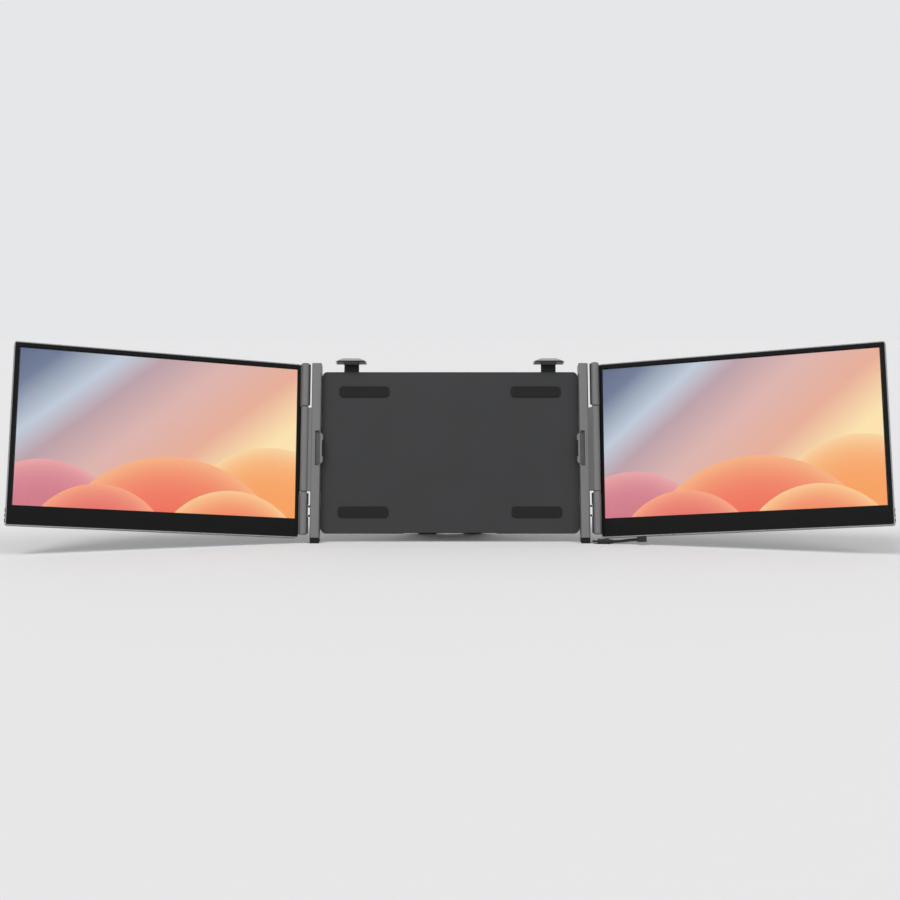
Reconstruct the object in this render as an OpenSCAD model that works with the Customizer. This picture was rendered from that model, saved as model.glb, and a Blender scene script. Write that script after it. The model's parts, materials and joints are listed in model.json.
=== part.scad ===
// Laptop screen extender: a centre frame with sliding columns grips a laptop lid,
// and two side screens hang on hinges at the columns.
//
// Every module is drawn in the plane of the lid: x to the right, y to the back,
// z up along the lid. leaned() then tips the whole object back by the lean angle
// and sets its feet on the ground plane, with +Z up.

/* [Side screens] */
// Width of the lit area of a 15.6-inch 16:9 panel
active_w = 344.2; // [300:0.1:350]
// Height of the lit area
active_h = 193.6; // [170:0.1:196]
// Dark border above the lit area
bezel_top = 6; // [5:0.5:8]
// Dark border at the outer side
bezel_outer = 6; // [5:0.5:8]
// Dark border at the hinge side
bezel_inner = 4; // [4:0.5:6]
// Dark border below the lit area
chin = 24.4; // [22:0.2:30]
// Thickness of a side screen
wing_t = 8; // [8:0.5:10]
// Turn of each side screen towards the user, as set up
wing_yaw = 19.5; // [0:0.5:40]

/* [Stand] */
// Angle by which the lid and frame lean back
lean = 15; // [10:0.5:20]
// Height of the columns' lower front edge above the ground
foot_rise = 7.5; // [7:0.5:10]
// Angle of the kickstand from its folded place
kick_angle = 28.3; // [24:0.1:34]

/* [Columns and hinges] */
// Half of the distance between the two hinge axes
hinge_x = 185; // [183:0.5:190]
// Depth of the left hinge axis behind the columns' front
left_axis_y = 1.7; // [1.5:0.1:1.9]
// Depth of the right hinge axis, forward so that its screen folds over the left one
right_axis_y = -2.6; // [-2.8:0.1:-2.4]
// Diameter of the hinge knuckles
knuckle_d = 10; // [9:0.5:10]
// Diameter of the hinge pins
pin_d = 4; // [3:0.5:5]
// Height of a column
column_h = 225.2; // [225.2:0.2:232]
// Width of a column, seen from the front
column_w = 12; // [11.5:0.5:12]
// Distance from the middle to a column's inner side
column_x = 164.6; // [164.4:0.1:165]
// Depth of columns and centre frame
depth = 24; // [24:0.5:26]

/* [Centre frame] */
// Half of the frame's width
frame_x = 164; // [160:0.5:164]
// Lower edge of the frame
frame_z0 = 8; // [6:1:12]
// Upper edge of the frame
frame_z1 = 216; // [214:1:218]
// Plane of the lid's back
lid_back_y = 10; // [9:0.5:10]
// Width of the kickstand
kick_w = 107; // [90:1:107]
// Height of the kickstand's hinge pin
kick_z = 152; // [145:1:152]

/* [Hidden] */
$fn = 48;
eps = 0.05;
skin = 1.6;                 // wall of the columns
shell_wall = 1.2;           // side wall of a screen's rear shell, its bright front rim
shell_back = 1.4;           // back wall of a screen's rear shell
face_y = 4;                 // plane of a screen's front face, as the lid's own face
pin_gap = 0.05;             // running clearance round a pin
split_y = 13;               // joint between front and back shells
panel_t = 1.5;              // front panel
cover_wall = 1.8;           // back cover

wing_w = bezel_inner + active_w + bezel_outer;
wing_h = chin + active_h + bezel_top;
wing_r = 3;                 // corner radius of a screen
left_d = face_y - left_axis_y;
right_d = face_y - right_axis_y;
inner_gap = 5.7;            // from the left hinge axis to its screen's edge

// heights of the hinge knuckles: lower, middle and upper
low_z = [4, 57.8];
mid_z = [58.6, 168];
top_z = [168.8, 224.8];
pin_reach = 36;             // length of a pin inside the middle knuckle

jaw_z = [92.5, 136.5];
jaw_travel = 2.2;
lip_x = column_x - 3.2;     // free edge of a jaw's lip
lip_pad_z = [104, 125];
spring_z = [102, 127];
spring_y = 6.5;

// rear screws of the centre frame
screw_places = [[-150, 20], [150, 20], [-150, 204], [150, 204], [-76, 110], [76, 110]];
screw_head_r = 2.4;
screw_shank_r = 1.4;

rail_z = [52, 154];
rail_w = 18;
rail_t = 3;
rail_y = 14.5;
rail_end_x = 62;
rail_end_w = 6;             // crosspiece that keeps a rail in its guide
rail_end_reach = 3;
guide_x0 = 100;
guide_wall = 4;
slide_gap = 0.1;

hook_x = 127;
hook_base_w = 37;
hook_top_w = 19;
lid_top_z = 227.2;
hook_z = lid_top_z + 0.6;
hook_front_y = 1.8;
cap_t = 0.9;                // sheet thickness of the hook's cap
cap_low = 0.9;              // lower edge of the cap's front plate
stem_w = 19;
stem_t = 2.5;
stem_y = 17;
stem_z = 178;

kick_y = 21.2;
kick_t = 4;
kick_foot_r = 2.6;
kick_barrel_r = 3.2;
kick_pin_r = 1.25;
recess_x = 59;
recess_y = 17.8;

// depths of a screen's layers behind its front face
bezel_y = [0, 1.5];
glass_y = [1.5, 2.2];
lcd_y = [2.2, 4.6];
leaf_y = [5.4, 6.6];        // hinge leaves, and the circuit board beside them
leaf_low = 5;               // a leaf starts this far above its knuckle's lower end
leaf_high = 8;              // and ends this far below the upper end
leaf_w = 44;

socket = [8.94, 3.2];       // outside of a USB-C socket
display_socket = [11.2, 3.2];
sleeve_t = 0.3;             // sheet thickness of the sockets
plug_tip = [8.2, 2.4];
port_x = [54, 74];          // sockets, from the hinge axis
display_port_x = 96;
port_y = 4;                 // middle of the screen's thickness
button_z = [6.2, 12.4, 18.6];
button_size = [4.6, 3];
button_stem = 1.6;          // depth of a button behind the shell's face
button_travel = 0.6;

// the kickstand reaches the ground with its round foot
kick_pivot_h = kick_z * cos(lean) - kick_y * sin(lean) + foot_rise;
kick_l = (kick_pivot_h - kick_foot_r) / cos(kick_angle - lean);
kick_back_y = kick_y * cos(lean) + kick_z * sin(lean)
    + kick_l * sin(kick_angle - lean) + kick_foot_r;
// the left screen's outer lower corner is the foremost point
front_y = (left_axis_y + left_d * cos(wing_yaw)
    - (inner_gap + wing_w) * sin(wing_yaw)) * cos(lean);
origin_y = -(front_y + kick_back_y) / 2;

// ---- lead under the right screen: route in millimetres, ground at z = 0 ----
lead_d = 3.6;
lead_start = [47.4, 10.6, -3.6];   // in the right screen's own frame
lead_route = [
    [229.4, -0.1, 5.8], [227.4, 0.5, 5.6], [225.4, 1.0, 5.3], [223.4, 1.5, 5.0],
    [221.4, 2.0, 4.7], [219.3, 2.4, 4.4], [217.3, 2.8, 4.1], [215.3, 3.2, 3.8],
    [213.2, 3.6, 3.5], [211.1, 3.9, 3.3], [209.1, 4.2, 3.2], [207.1, 4.5, 3.1],
    [205.0, 4.8, 3.0]];
lead_start_len = 2;                // straight piece where the lead leaves its plug

// ---------------------------------------------------------------- helpers
// tips the object back and stands it on the ground, centred front to back
module leaned() {
    translate([0, origin_y, foot_rise]) rotate([-lean, 0, 0]) children();
}

// side is -1 for the left half and 1 for the right one
module sided(side) {
    leaned() mirror([side < 0 ? 1 : 0, 0, 0]) children();
}

function axis_y(side) = side < 0 ? left_axis_y : right_axis_y;
// depth of a screen's front face behind its hinge axis
function face_d(side) = side < 0 ? left_d : right_d;
// distance from the hinge axis to the screen's edge; both screens reach equally far
function gap_x(side) = inner_gap - (face_d(side) - left_d) * tan(wing_yaw);

// a screen's own frame: origin on the hinge axis, x outwards along the screen
module on_wing(side) {
    sided(side) translate([hinge_x, axis_y(side), 0])
        rotate([0, 0, -wing_yaw]) children();
}

module rounded_rect(w, h, r) {
    translate([r, 0]) square([w - 2 * r, h]);
    translate([0, r]) square([w, h - 2 * r]);
    for (x = [r, w - r], y = [r, h - r]) translate([x, y]) circle(r = r);
}

// upright plate with rounded corners: x 0 to w, y 0 to t, z 0 to h
module slab(w, t, h, r) {
    translate([0, t, 0]) rotate([90, 0, 0]) linear_extrude(t) rounded_rect(w, h, r);
}

// slot shape with round ends, centred
module pill(w, h) {
    square([w - h, h], center = true);
    for (s = [-1, 1]) translate([s * (w - h) / 2, 0]) circle(d = h);
}

module box(lo, hi) {
    translate(lo) cube(hi - lo);
}

// solid with its profile in the y-z plane, from x0 to x1
module across(x0, x1) {
    translate([x0, 0, 0]) rotate([90, 0, 90]) linear_extrude(x1 - x0) children();
}

// ----------------------------------------------------------- centre frame
module front_panel() {
    color("#2a2b2d") leaned()
        translate([-frame_x, split_y - panel_t, frame_z0])
            slab(2 * frame_x, panel_t, frame_z1 - frame_z0, 6);
}

module recess(grow, y0) {
    box([-recess_x - grow, y0, frame_z0 - 1], [recess_x + grow, depth + 1, kick_z + 6 + grow]);
}

module back_cover() {
    inner_y = depth - cover_wall;
    color("#47494c") leaned() difference() {
        union() {
            difference() {
                translate([-frame_x, split_y, frame_z0])
                    slab(2 * frame_x, depth - split_y, frame_z1 - frame_z0, 6);
                translate([-frame_x + cover_wall, split_y - 1, frame_z0 + cover_wall])
                    slab(2 * (frame_x - cover_wall), inner_y - split_y + 1,
                        frame_z1 - frame_z0 - 2 * cover_wall, 4.2);
            }
            intersection() {
                recess(cover_wall, recess_y - cover_wall);
                box([-frame_x, split_y, frame_z0], [frame_x, depth, frame_z1]);
            }
        }
        recess(0, recess_y);
        for (z = rail_z, s = [-1, 1])
            translate([s * frame_x, rail_y + rail_t / 2, z])
                cube([2 * cover_wall + 2, rail_t + 0.8, rail_w + 0.8], center = true);
        for (s = [-1, 1])
            translate([s * hook_x, stem_y + stem_t / 2, frame_z1])
                cube([stem_w + 1.4, stem_t + 1.2, 3 * cover_wall], center = true);
        for (p = screw_places)
            translate([p[0], depth - 1, p[1]]) rotate([-90, 0, 0])
                cylinder(r = screw_head_r + 0.2, h = 2);
        for (p = screw_places)
            translate([p[0], depth - 3, p[1]]) rotate([-90, 0, 0])
                cylinder(r = screw_shank_r + 0.1, h = 3);
    }
}

module frame_screws() {
    color("#8d8f92") leaned() for (p = screw_places)
        translate([p[0], 0, p[1]]) rotate([-90, 0, 0]) difference() {
            union() {
                translate([0, 0, depth - 1]) cylinder(r = screw_head_r, h = 0.9);
                translate([0, 0, split_y]) cylinder(r = screw_shank_r, h = depth - 1 - split_y);
            }
            translate([0, 0, depth - 0.6]) cylinder(r = screw_head_r / 2, h = 1, $fn = 6);
        }
}

module lid_pads() {
    color("#151515") leaned() for (x = [-110, 110], z = [34, 190])
        translate([x - 32, lid_back_y, z - 7])
            slab(64, split_y - panel_t - lid_back_y, 14, 5);
}

module rail_guides() {
    color("#d8d8d4") for (side = [-1, 1]) sided(side) for (z = rail_z)
        difference() {
            box([guide_x0, split_y, z - rail_w / 2 - guide_wall],
                [frame_x - cover_wall, rail_y + 2 * rail_t, z + rail_w / 2 + guide_wall]);
            box([guide_x0 - 1, rail_y - slide_gap, z - rail_w / 2 - slide_gap],
                [frame_x, rail_y + rail_t + slide_gap, z + rail_w / 2 + slide_gap]);
        }
}

module hook_guides() {
    top = frame_z1 - cover_wall;
    color("#d8d8d4") for (side = [-1, 1]) sided(side) difference() {
        box([hook_x - 14, split_y, 190], [hook_x + 14, depth - cover_wall, top]);
        box([hook_x - stem_w / 2 - slide_gap, stem_y - slide_gap, 189],
            [hook_x + stem_w / 2 + slide_gap, stem_y + stem_t + slide_gap, top + 1]);
    }
}

// -------------------------------------------------------------- kickstand
module kickstand_brackets() {
    color("#9a9c9f") leaned() for (s = [-1, 1])
        difference() {
            translate([s > 0 ? kick_w / 2 + 0.4 : -recess_x + 0.1, 0, 0])
                across(0, recess_x - kick_w / 2 - 0.5) union() {
                    translate([recess_y, kick_z - 5]) square([kick_y - recess_y, 10]);
                    translate([kick_y, kick_z]) circle(r = 3);
                }
            translate([s * 56, kick_y, kick_z]) rotate([0, 90, 0])
                cylinder(r = kick_pin_r, h = 20, center = true);
        }
}

module kickstand_pin() {
    color("#b5b7ba") leaned() translate([0, kick_y, kick_z]) rotate([0, 90, 0])
        cylinder(r = kick_pin_r, h = 2 * recess_x - 0.6, center = true);
}

// the kickstand's own frame: origin on its pin, z up along the leg
module on_kickstand() {
    leaned() translate([0, kick_y, kick_z]) rotate([kick_angle, 0, 0]) children();
}

module leg_plate() {
    translate([-kick_w / 2, -kick_t / 2, -kick_l + 1.2]) slab(kick_w, kick_t, kick_l - 1.2, 9);
}

module kickstand_leg() {
    color("#47494c") on_kickstand() difference() {
        union() {
            intersection() {
                leg_plate();
                box([-kick_w, -kick_t, -kick_l], [kick_w, kick_t, -1]);
            }
            rotate([0, 90, 0]) cylinder(r = kick_barrel_r, h = kick_w, center = true);
            box([-kick_w / 2, -kick_t / 2, -12], [kick_w / 2, kick_t / 2, 0]);
        }
        rotate([0, 90, 0]) cylinder(r = kick_pin_r + pin_gap, h = kick_w + 2, center = true);
        translate([0, 0, -kick_l - 1]) rotate([90, 0, 0]) cylinder(r = 12, h = 10, center = true);
    }
}

module kickstand_foot() {
    color("#151515") on_kickstand() for (s = [-1, 1]) difference() {
        translate([s * 30, 0, -kick_l]) rotate([0, 90, 0])
            cylinder(r = kick_foot_r, h = 24, center = true);
        leg_plate();
    }
}

// ---------------------------------------------------------------- columns
module shell_profile(y0, y1, r, front) {
    w = column_w;
    yr = front ? y0 + r : y1 - r;
    translate([0, front ? yr : y0]) square([w, front ? y1 - yr : yr - y0]);
    translate([r, y0]) square([w - 2 * r, y1 - y0]);
    for (x = [r, w - r]) translate([x, yr]) circle(r = r);
}

module knuckle_body(z) {
    c = 0.8;
    r = knuckle_d / 2;
    rotate_extrude() polygon([[0, z[0]], [r - c, z[0]], [r, z[0] + c],
        [r, z[1] - c], [r - c, z[1]], [0, z[1]]]);
}

module front_shell(side) {
    ay = axis_y(side);
    outer_x = column_x + column_w;
    color("#7c7e81") sided(side) difference() {
        union() {
            translate([column_x, 0, 0]) linear_extrude(column_h)
                shell_profile(0, split_y, 2, true);
            // middle knuckle and the web that carries it
            translate([hinge_x, ay, 0]) knuckle_body(mid_z);
            box([outer_x - 1.2, max(0.3, ay - 1), mid_z[0] + 1], [hinge_x, ay + 4.6, mid_z[1] - 1]);
            // a forward knuckle gets a sloping face, tangent to it
            if (ay < 0) translate([0, 0, mid_z[0] + 1.2])
                linear_extrude(mid_z[1] - mid_z[0] - 2.4)
                    polygon([[outer_x - 1, 0.4], [hinge_x - knuckle_d * 0.37, ay - knuckle_d * 0.33],
                        [hinge_x, ay], [hinge_x, ay + 3], [outer_x - 1, ay + 4]]);
        }
        box([column_x + skin, skin, skin], [outer_x - skin, split_y + 1, column_h - skin]);
        // window of the jaw, in the front and in the inner side
        box([column_x - 1, -1, jaw_z[0] - 0.5], [column_x + 6.6, skin + eps, jaw_z[1] + 0.5]);
        box([column_x - 1, -1, jaw_z[0] + 1.5], [column_x + skin + eps, 11.2, jaw_z[1] - 1.5]);
        for (z = [mid_z[0], mid_z[1] - pin_reach])
            translate([hinge_x, ay, z - eps]) cylinder(d = pin_d, h = pin_reach + 2 * eps);
    }
}

module back_shell(side) {
    outer_x = column_x + column_w;
    color("#7c7e81") sided(side) difference() {
        translate([column_x, 0, 0]) linear_extrude(column_h)
            shell_profile(split_y, depth, 4, false);
        box([column_x + skin, split_y - 1, skin], [outer_x - skin, depth - skin, column_h - skin]);
        for (z = rail_z)
            box([column_x - 1, rail_y, z - rail_w / 2],
                [column_x + skin + eps, rail_y + rail_t, z + rail_w / 2]);
    }
}

module rails(side) {
    color("#a9abad") sided(side) for (z = rail_z) difference() {
        union() {
            box([rail_end_x, rail_y, z - rail_w / 2],
                [column_x + column_w - skin, rail_y + rail_t, z + rail_w / 2]);
            box([rail_end_x, rail_y, z - rail_w / 2 - rail_end_reach],
                [rail_end_x + rail_end_w, rail_y + rail_t, z + rail_w / 2 + rail_end_reach]);
        }
        translate([column_x + 4.5, rail_y - 1, z]) rotate([-90, 0, 0])
            cylinder(r = 1.6, h = rail_t + 2);
    }
}

// wedge between the leaning column and the level ground
module foot(side) {
    x0 = column_x + 0.4;
    x1 = column_x + column_w - 0.4;
    y0 = 0.8;
    y1 = depth - 2.5;
    top = function (y) [y * cos(lean), foot_rise - y * sin(lean)];
    color("#151515") translate([0, origin_y, 0]) mirror([side < 0 ? 1 : 0, 0, 0])
        across(x0, x1) polygon([top(y0), top(y1), [top(y1)[0], 0], [top(y0)[0], 0]]);
}

module hinge_pins(side) {
    color("#b5b7ba") sided(side) translate([hinge_x, axis_y(side), 0]) {
        translate([0, 0, low_z[0] + 5])
            cylinder(d = pin_d, h = mid_z[0] + pin_reach - low_z[0] - 5);
        translate([0, 0, mid_z[1] - pin_reach])
            cylinder(d = pin_d, h = top_z[1] - 5 - mid_z[1] + pin_reach);
    }
}

module bumpers(side) {
    color("#101010") sided(side) for (z = [28, 40])
        translate([column_x + column_w, axis_y(side) + 2.2, z]) rotate([0, 90, 0])
            cylinder(d = 2.6, h = 2.2);
}

// ------------------------------------------------------------------- jaws
// lip over the lid's front edge, with cut-off corners
module lip() {
    x1 = column_x + 0.6;
    translate([0, 3.6, 0]) rotate([90, 0, 0]) linear_extrude(2)
        polygon([[x1, jaw_z[0] + 2.4], [column_x - 0.8, jaw_z[0] + 2.4],
            [lip_x, jaw_z[0] + 5], [lip_x, jaw_z[1] - 5],
            [column_x - 0.8, jaw_z[1] - 2.4], [x1, jaw_z[1] - 2.4]]);
}

// soft pad let into the middle of the lip's free edge
module lip_pad(gap) {
    box([lip_x - 0.2 - gap, 1.4 - gap, lip_pad_z[0] - gap],
        [lip_x + 1.2 + gap, 3.1 + gap, lip_pad_z[1] + gap]);
}

module jaw(side) {
    mid_x = column_x + skin;
    color("#4b4d50") sided(side) difference() {
        union() {
            box([column_x - 1.2, 2.2, jaw_z[0] + 1.8], [mid_x + 0.3, 10.8, jaw_z[1] - 1.8]);
            box([mid_x + 0.3, 2.2, jaw_z[0]],
                [column_x + column_w - skin - jaw_travel - 0.2, 10.8, jaw_z[1]]);
            lip();
        }
        lip_pad(0.05);
        for (z = spring_z) translate([column_x + 3, spring_y, z]) rotate([0, 90, 0])
            cylinder(r = 2.2, h = 10);
    }
}

module jaw_pad(side) {
    color("#151515") sided(side) {
        box([column_x - 1.7, 4.2, jaw_z[0] + 4], [column_x - 1.2, 9.8, jaw_z[1] - 4]);
        lip_pad(0);
    }
}

module jaw_springs(side) {
    x0 = column_x + 3.05;
    x1 = column_x + column_w - skin;
    color("#b5b7ba") sided(side) for (z = spring_z)
        translate([x0, spring_y, z]) rotate([0, 90, 0]) difference() {
            cylinder(r = 2, h = x1 - x0);
            translate([0, 0, -1]) cylinder(r = 1.5, h = x1 - x0 + 2);
        }
}

// -------------------------------------------------------------- top hooks
// front view of the hook's arm, grown by t on its sloping sides and top
module arm_outline(t) {
    polygon([[-hook_base_w / 2 - 1.6 * t, 0], [hook_base_w / 2 + 1.6 * t, 0],
        [hook_top_w / 2 + 0.4 * t, 3.2 + t], [-hook_top_w / 2 - 0.4 * t, 3.2 + t]]);
}

module on_hook(side) {
    sided(side) translate([hook_x, 0, hook_z]) children();
}

module hook(side) {
    back_y = stem_y + stem_t;
    color("#1d1e20") on_hook(side) {
        translate([0, back_y, 0]) rotate([90, 0, 0])
            linear_extrude(back_y - hook_front_y) arm_outline(0);
        box([-hook_top_w / 2, hook_front_y, lid_top_z - 3.6 - hook_z],
            [hook_top_w / 2, hook_front_y + 1.6, 0.5]);
        box([-stem_w / 2, stem_y, stem_z - hook_z], [stem_w / 2, back_y, 0.5]);
    }
}

module hook_cap(side) {
    back_y = stem_y + stem_t;
    color("#b4b5b7") on_hook(side) difference() {
        translate([0, back_y + 0.6, 0]) rotate([90, 0, 0])
            linear_extrude(back_y - 0.4) arm_outline(cap_t);
        translate([0, back_y + 2, 0]) rotate([90, 0, 0])
            linear_extrude(back_y + 2 - hook_front_y) arm_outline(0);
        box([-hook_base_w, -5, -5], [hook_base_w, 30, 0]);
        // the plate in front ends above the arm's lower edge
        box([-hook_base_w, -5, -5], [hook_base_w, hook_front_y, cap_low]);
    }
}

module hook_pad(side) {
    color("#2c2d2f") on_hook(side) {
        box([-9, 3.4, lid_top_z - hook_z], [9, 12, 0]);
        box([-9, 3.4, lid_top_z - hook_z - 3.4], [9, 3.9, 0]);
    }
}

// ----------------------------------------------------------- side screens
module wing_slab(side, inset, y0, y1, r) {
    translate([gap_x(side) + inset, face_d(side) + y0, inset])
        slab(wing_w - 2 * inset, y1 - y0, wing_h - 2 * inset, r);
}

module rear_shell(side) {
    g = gap_x(side);
    d = face_d(side);
    color("#6f7174") on_wing(side) difference() {
        wing_slab(side, 0, 0, wing_t, wing_r);
        wing_slab(side, shell_wall, -1, wing_t - shell_back, wing_r - shell_wall);
        for (x = port_x) translate([x, d + port_y, -1]) linear_extrude(4)
            pill(socket[0] + 0.5, socket[1] + 0.5);
        translate([display_port_x, d + port_y, -1]) linear_extrude(4)
            square(display_socket + [0.6, 0.6], center = true);
        for (z = button_z) translate([g + wing_w - 3, d + port_y, z]) rotate([90, 0, 90])
            linear_extrude(6) rotate(90) pill(button_size[0] + 0.3, button_size[1] + 0.3);
        for (z = [low_z, top_z])
            box([g - 1, d + leaf_y[0], z[0] + leaf_low],
                [g + shell_wall + eps, d + leaf_y[1], z[1] - leaf_high]);
    }
}

module bezel(side) {
    color("#1e1f21") on_wing(side) difference() {
        wing_slab(side, shell_wall, bezel_y[0], bezel_y[1], wing_r - shell_wall);
        translate([gap_x(side) + bezel_inner, face_d(side) - 1, chin])
            cube([active_w, 4, active_h]);
    }
}

// layer behind the bezel, larger than the lit area by the margin
module screen_layer(side, margin, y) {
    translate([gap_x(side) + bezel_inner - margin, face_d(side) + y[0], chin - margin])
        cube([active_w + 2 * margin, y[1] - y[0], active_h + 2 * margin]);
}

module glass(side) {
    color("#e8b9a0", 0.5) on_wing(side) screen_layer(side, 2, glass_y);
}

module lcd_panel(side) {
    color("#e9a184") on_wing(side) screen_layer(side, 2.4, lcd_y);
}

module driver_board(side) {
    g = gap_x(side);
    d = face_d(side);
    color("#2f6b3f") on_wing(side) {
        box([g + leaf_w + 2, d + leaf_y[0] + 0.2, shell_wall + 0.2], [g + 190, d + leaf_y[1], 19]);
        // its controller chip and the backlight's connector
        box([g + 110, d + 4.2, 5], [g + 122, d + leaf_y[0] + 0.25, 17]);
        box([g + 140, d + 4.4, 6], [g + 158, d + leaf_y[0] + 0.25, 12]);
        // small board with the switches behind the buttons
        box([g + wing_w - 6.5, d + 1.9, 2.5], [g + wing_w - 5.5, d + 6.1, 21.5]);
        for (z = button_z)
            box([g + wing_w - 5.5, d + port_y - 1.5, z - 1.5],
                [g + wing_w - 3.1, d + port_y + 1.5, z + 1.5]);
    }
}

module ports(side) {
    d = face_d(side);
    color("#c5c7c9") on_wing(side) {
        for (x = port_x) translate([x, d + port_y, 0.2]) difference() {
            linear_extrude(7.3) pill(socket[0], socket[1]);
            translate([0, 0, -1]) linear_extrude(7.5)
                pill(socket[0] - 2 * sleeve_t, socket[1] - 2 * sleeve_t);
        }
        translate([display_port_x, d + port_y, 0.2]) difference() {
            linear_extrude(7.5) square(display_socket, center = true);
            translate([0, 0, -1]) linear_extrude(7.7)
                square(display_socket - 2 * [sleeve_t, sleeve_t], center = true);
        }
    }
}

module hinge_leaves(side) {
    g = gap_x(side);
    d = face_d(side);
    color("#9a9c9f") on_wing(side) for (z = [low_z, top_z])
        difference() {
            box([g - 2, d + leaf_y[0], z[0] + leaf_low],
                [g + leaf_w, d + leaf_y[1], z[1] - leaf_high]);
            for (x = [14, 34], f = [0.25, 0.75])
                translate([g + x, d + 5, z[0] + f * (z[1] - z[0])]) rotate([-90, 0, 0])
                    cylinder(r = 1.6, h = 3);
        }
}

module knuckles(side) {
    g = gap_x(side);
    d = face_d(side);
    r = knuckle_d / 2;
    color("#7c7e81") on_wing(side) for (z = [low_z, top_z])
        difference() {
            union() {
                knuckle_body(z);
                // neck from the knuckle to the screen's inner side
                translate([0, 0, z[0] + 1]) linear_extrude(z[1] - z[0] - 2)
                    polygon([[-r * 0.46, r * 0.78], [g - 2.6, d + wing_t - 0.6],
                        [g, d + wing_t - 0.6], [g, d + 0.6], [r * 0.86, r * 0.24]]);
            }
            if (z == low_z) translate([0, 0, z[0] + 4])
                cylinder(d = pin_d + 2 * pin_gap, h = z[1] - z[0]);
            else translate([0, 0, z[0] - 1])
                cylinder(d = pin_d + 2 * pin_gap, h = z[1] - z[0] - 3);
            box([g - 2, d + leaf_y[0], z[0] + leaf_low],
                [g + 1, d + leaf_y[1], z[1] - leaf_high]);
        }
}

module button(side, z) {
    x = gap_x(side) + wing_w;
    color("#2a2b2d") on_wing(side) translate([x, face_d(side) + port_y, z])
        rotate([90, 0, 90]) {
            translate([0, 0, -button_stem]) linear_extrude(button_stem + button_travel + 0.1)
                rotate(90) pill(button_size[0], button_size[1]);
            // collar that keeps the button in its hole
            translate([0, 0, -button_stem - 0.7]) linear_extrude(0.8)
                rotate(90) pill(button_size[0] + 0.8, button_size[1] + 0.8);
        }
}

// -------------------------------------------------------------- short lead
// a point of the right screen's own frame, in the object's frame
function from_wing(p) =
    let (x = hinge_x + p[0] * cos(wing_yaw) + p[1] * sin(wing_yaw),
         y = right_axis_y - p[0] * sin(wing_yaw) + p[1] * cos(wing_yaw))
    [x, y * cos(lean) + p[2] * sin(lean) + origin_y,
        -y * sin(lean) + p[2] * cos(lean) + foot_rise];

function unit(v) = v / norm(v);

// a tube swept along a list of points; ends square to the given directions
module tube_along(path, r, sides, first_dir, last_dir) {
    n = len(path);
    dirs = [for (i = [0 : n - 1])
        i == 0 ? first_dir : i == n - 1 ? last_dir : unit(path[i + 1] - path[i - 1])];
    rings = [for (i = [0 : n - 1])
        let (s = unit(cross(dirs[i], [0, 0, 1])), u = cross(s, dirs[i]))
        [for (k = [0 : sides - 1])
            path[i] + r * (cos(360 * k / sides) * s + sin(360 * k / sides) * u)]];
    points = concat([path[0]], [for (ring = rings) each ring], [path[n - 1]]);
    last = len(points) - 1;
    at = function (i, k) 1 + i * sides + (k % sides);
    caps = [for (k = [0 : sides - 1]) each
        [[0, at(0, k + 1), at(0, k)], [last, at(n - 1, k), at(n - 1, k + 1)]]];
    walls = [for (i = [0 : n - 2], k = [0 : sides - 1]) each
        [[at(i, k), at(i + 1, k + 1), at(i + 1, k)], [at(i, k), at(i, k + 1), at(i + 1, k + 1)]]];
    polyhedron(points, concat(caps, walls), convexity = 6);
}

wing_out = from_wing([1, 0, 0]) - from_wing([0, 0, 0]);
far_yaw = -8;                      // turn of the far plug on the ground
far_dir = [-cos(far_yaw), -sin(far_yaw), 0];
lead_from = from_wing(lead_start);
lead_path = concat([lead_from, lead_from - lead_start_len * wing_out], lead_route);
lead_end = lead_path[len(lead_path) - 1];

module lead_cable() {
    color("#161616") tube_along(lead_path, lead_d / 2, 8, -wing_out, far_dir);
}

// angled plug in the first socket of the right screen
module lead_plug() {
    d = face_d(1);
    color("#1b1b1c") on_wing(1) translate([port_x[0], d + port_y, 0]) {
        translate([0, 0, -1]) linear_extrude(6.6) pill(plug_tip[0], plug_tip[1]);
        translate([0, 0, -6.6]) linear_extrude(6.2) {
            square([11, 5], center = true);
            square([8, 8], center = true);
            for (x = [-4, 4], y = [-2.5, 2.5]) translate([x, y]) circle(r = 1.5);
        }
        translate([-6.6, 0, lead_start[2]]) rotate([0, 90, 0]) cylinder(r1 = 2.2, r2 = 2.8, h = 3);
    }
}

module lead_far_plug() {
    color("#1b1b1c") translate(lead_end) rotate([0, 0, 180 + far_yaw]) rotate([90, 0, 90]) {
        cylinder(r1 = 2.2, r2 = 2.8, h = 5.2);
        translate([0, 0, 5]) linear_extrude(15) {
            square([10.6, 3], center = true);
            square([7.6, 6], center = true);
            for (x = [-3.8, 3.8], y = [-1.5, 1.5]) translate([x, y]) circle(r = 1.5);
        }
        translate([0, 0, 19]) linear_extrude(7.5) pill(plug_tip[0], plug_tip[1]);
    }
}

front_panel();
back_cover();
lid_pads();
rail_guides();
hook_guides();
kickstand_brackets();
kickstand_pin();
frame_screws();
kickstand_leg();
kickstand_foot();

front_shell(-1);  // left_front_shell
back_shell(-1);  // left_back_shell
rails(-1);  // left_rails
foot(-1);  // left_foot
hinge_pins(-1);  // left_hinge_pins
bumpers(-1);  // left_bumpers
front_shell(1);  // right_front_shell
back_shell(1);  // right_back_shell
rails(1);  // right_rails
foot(1);  // right_foot
hinge_pins(1);  // right_hinge_pins
bumpers(1);  // right_bumpers

jaw(-1);  // left_jaw
jaw_pad(-1);  // left_jaw_pad
jaw_springs(-1);  // left_jaw_springs
jaw(1);  // right_jaw
jaw_pad(1);  // right_jaw_pad
jaw_springs(1);  // right_jaw_springs

hook(-1);  // left_hook
hook_cap(-1);  // left_hook_cap
hook_pad(-1);  // left_hook_pad
hook(1);  // right_hook
hook_cap(1);  // right_hook_cap
hook_pad(1);  // right_hook_pad

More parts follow.
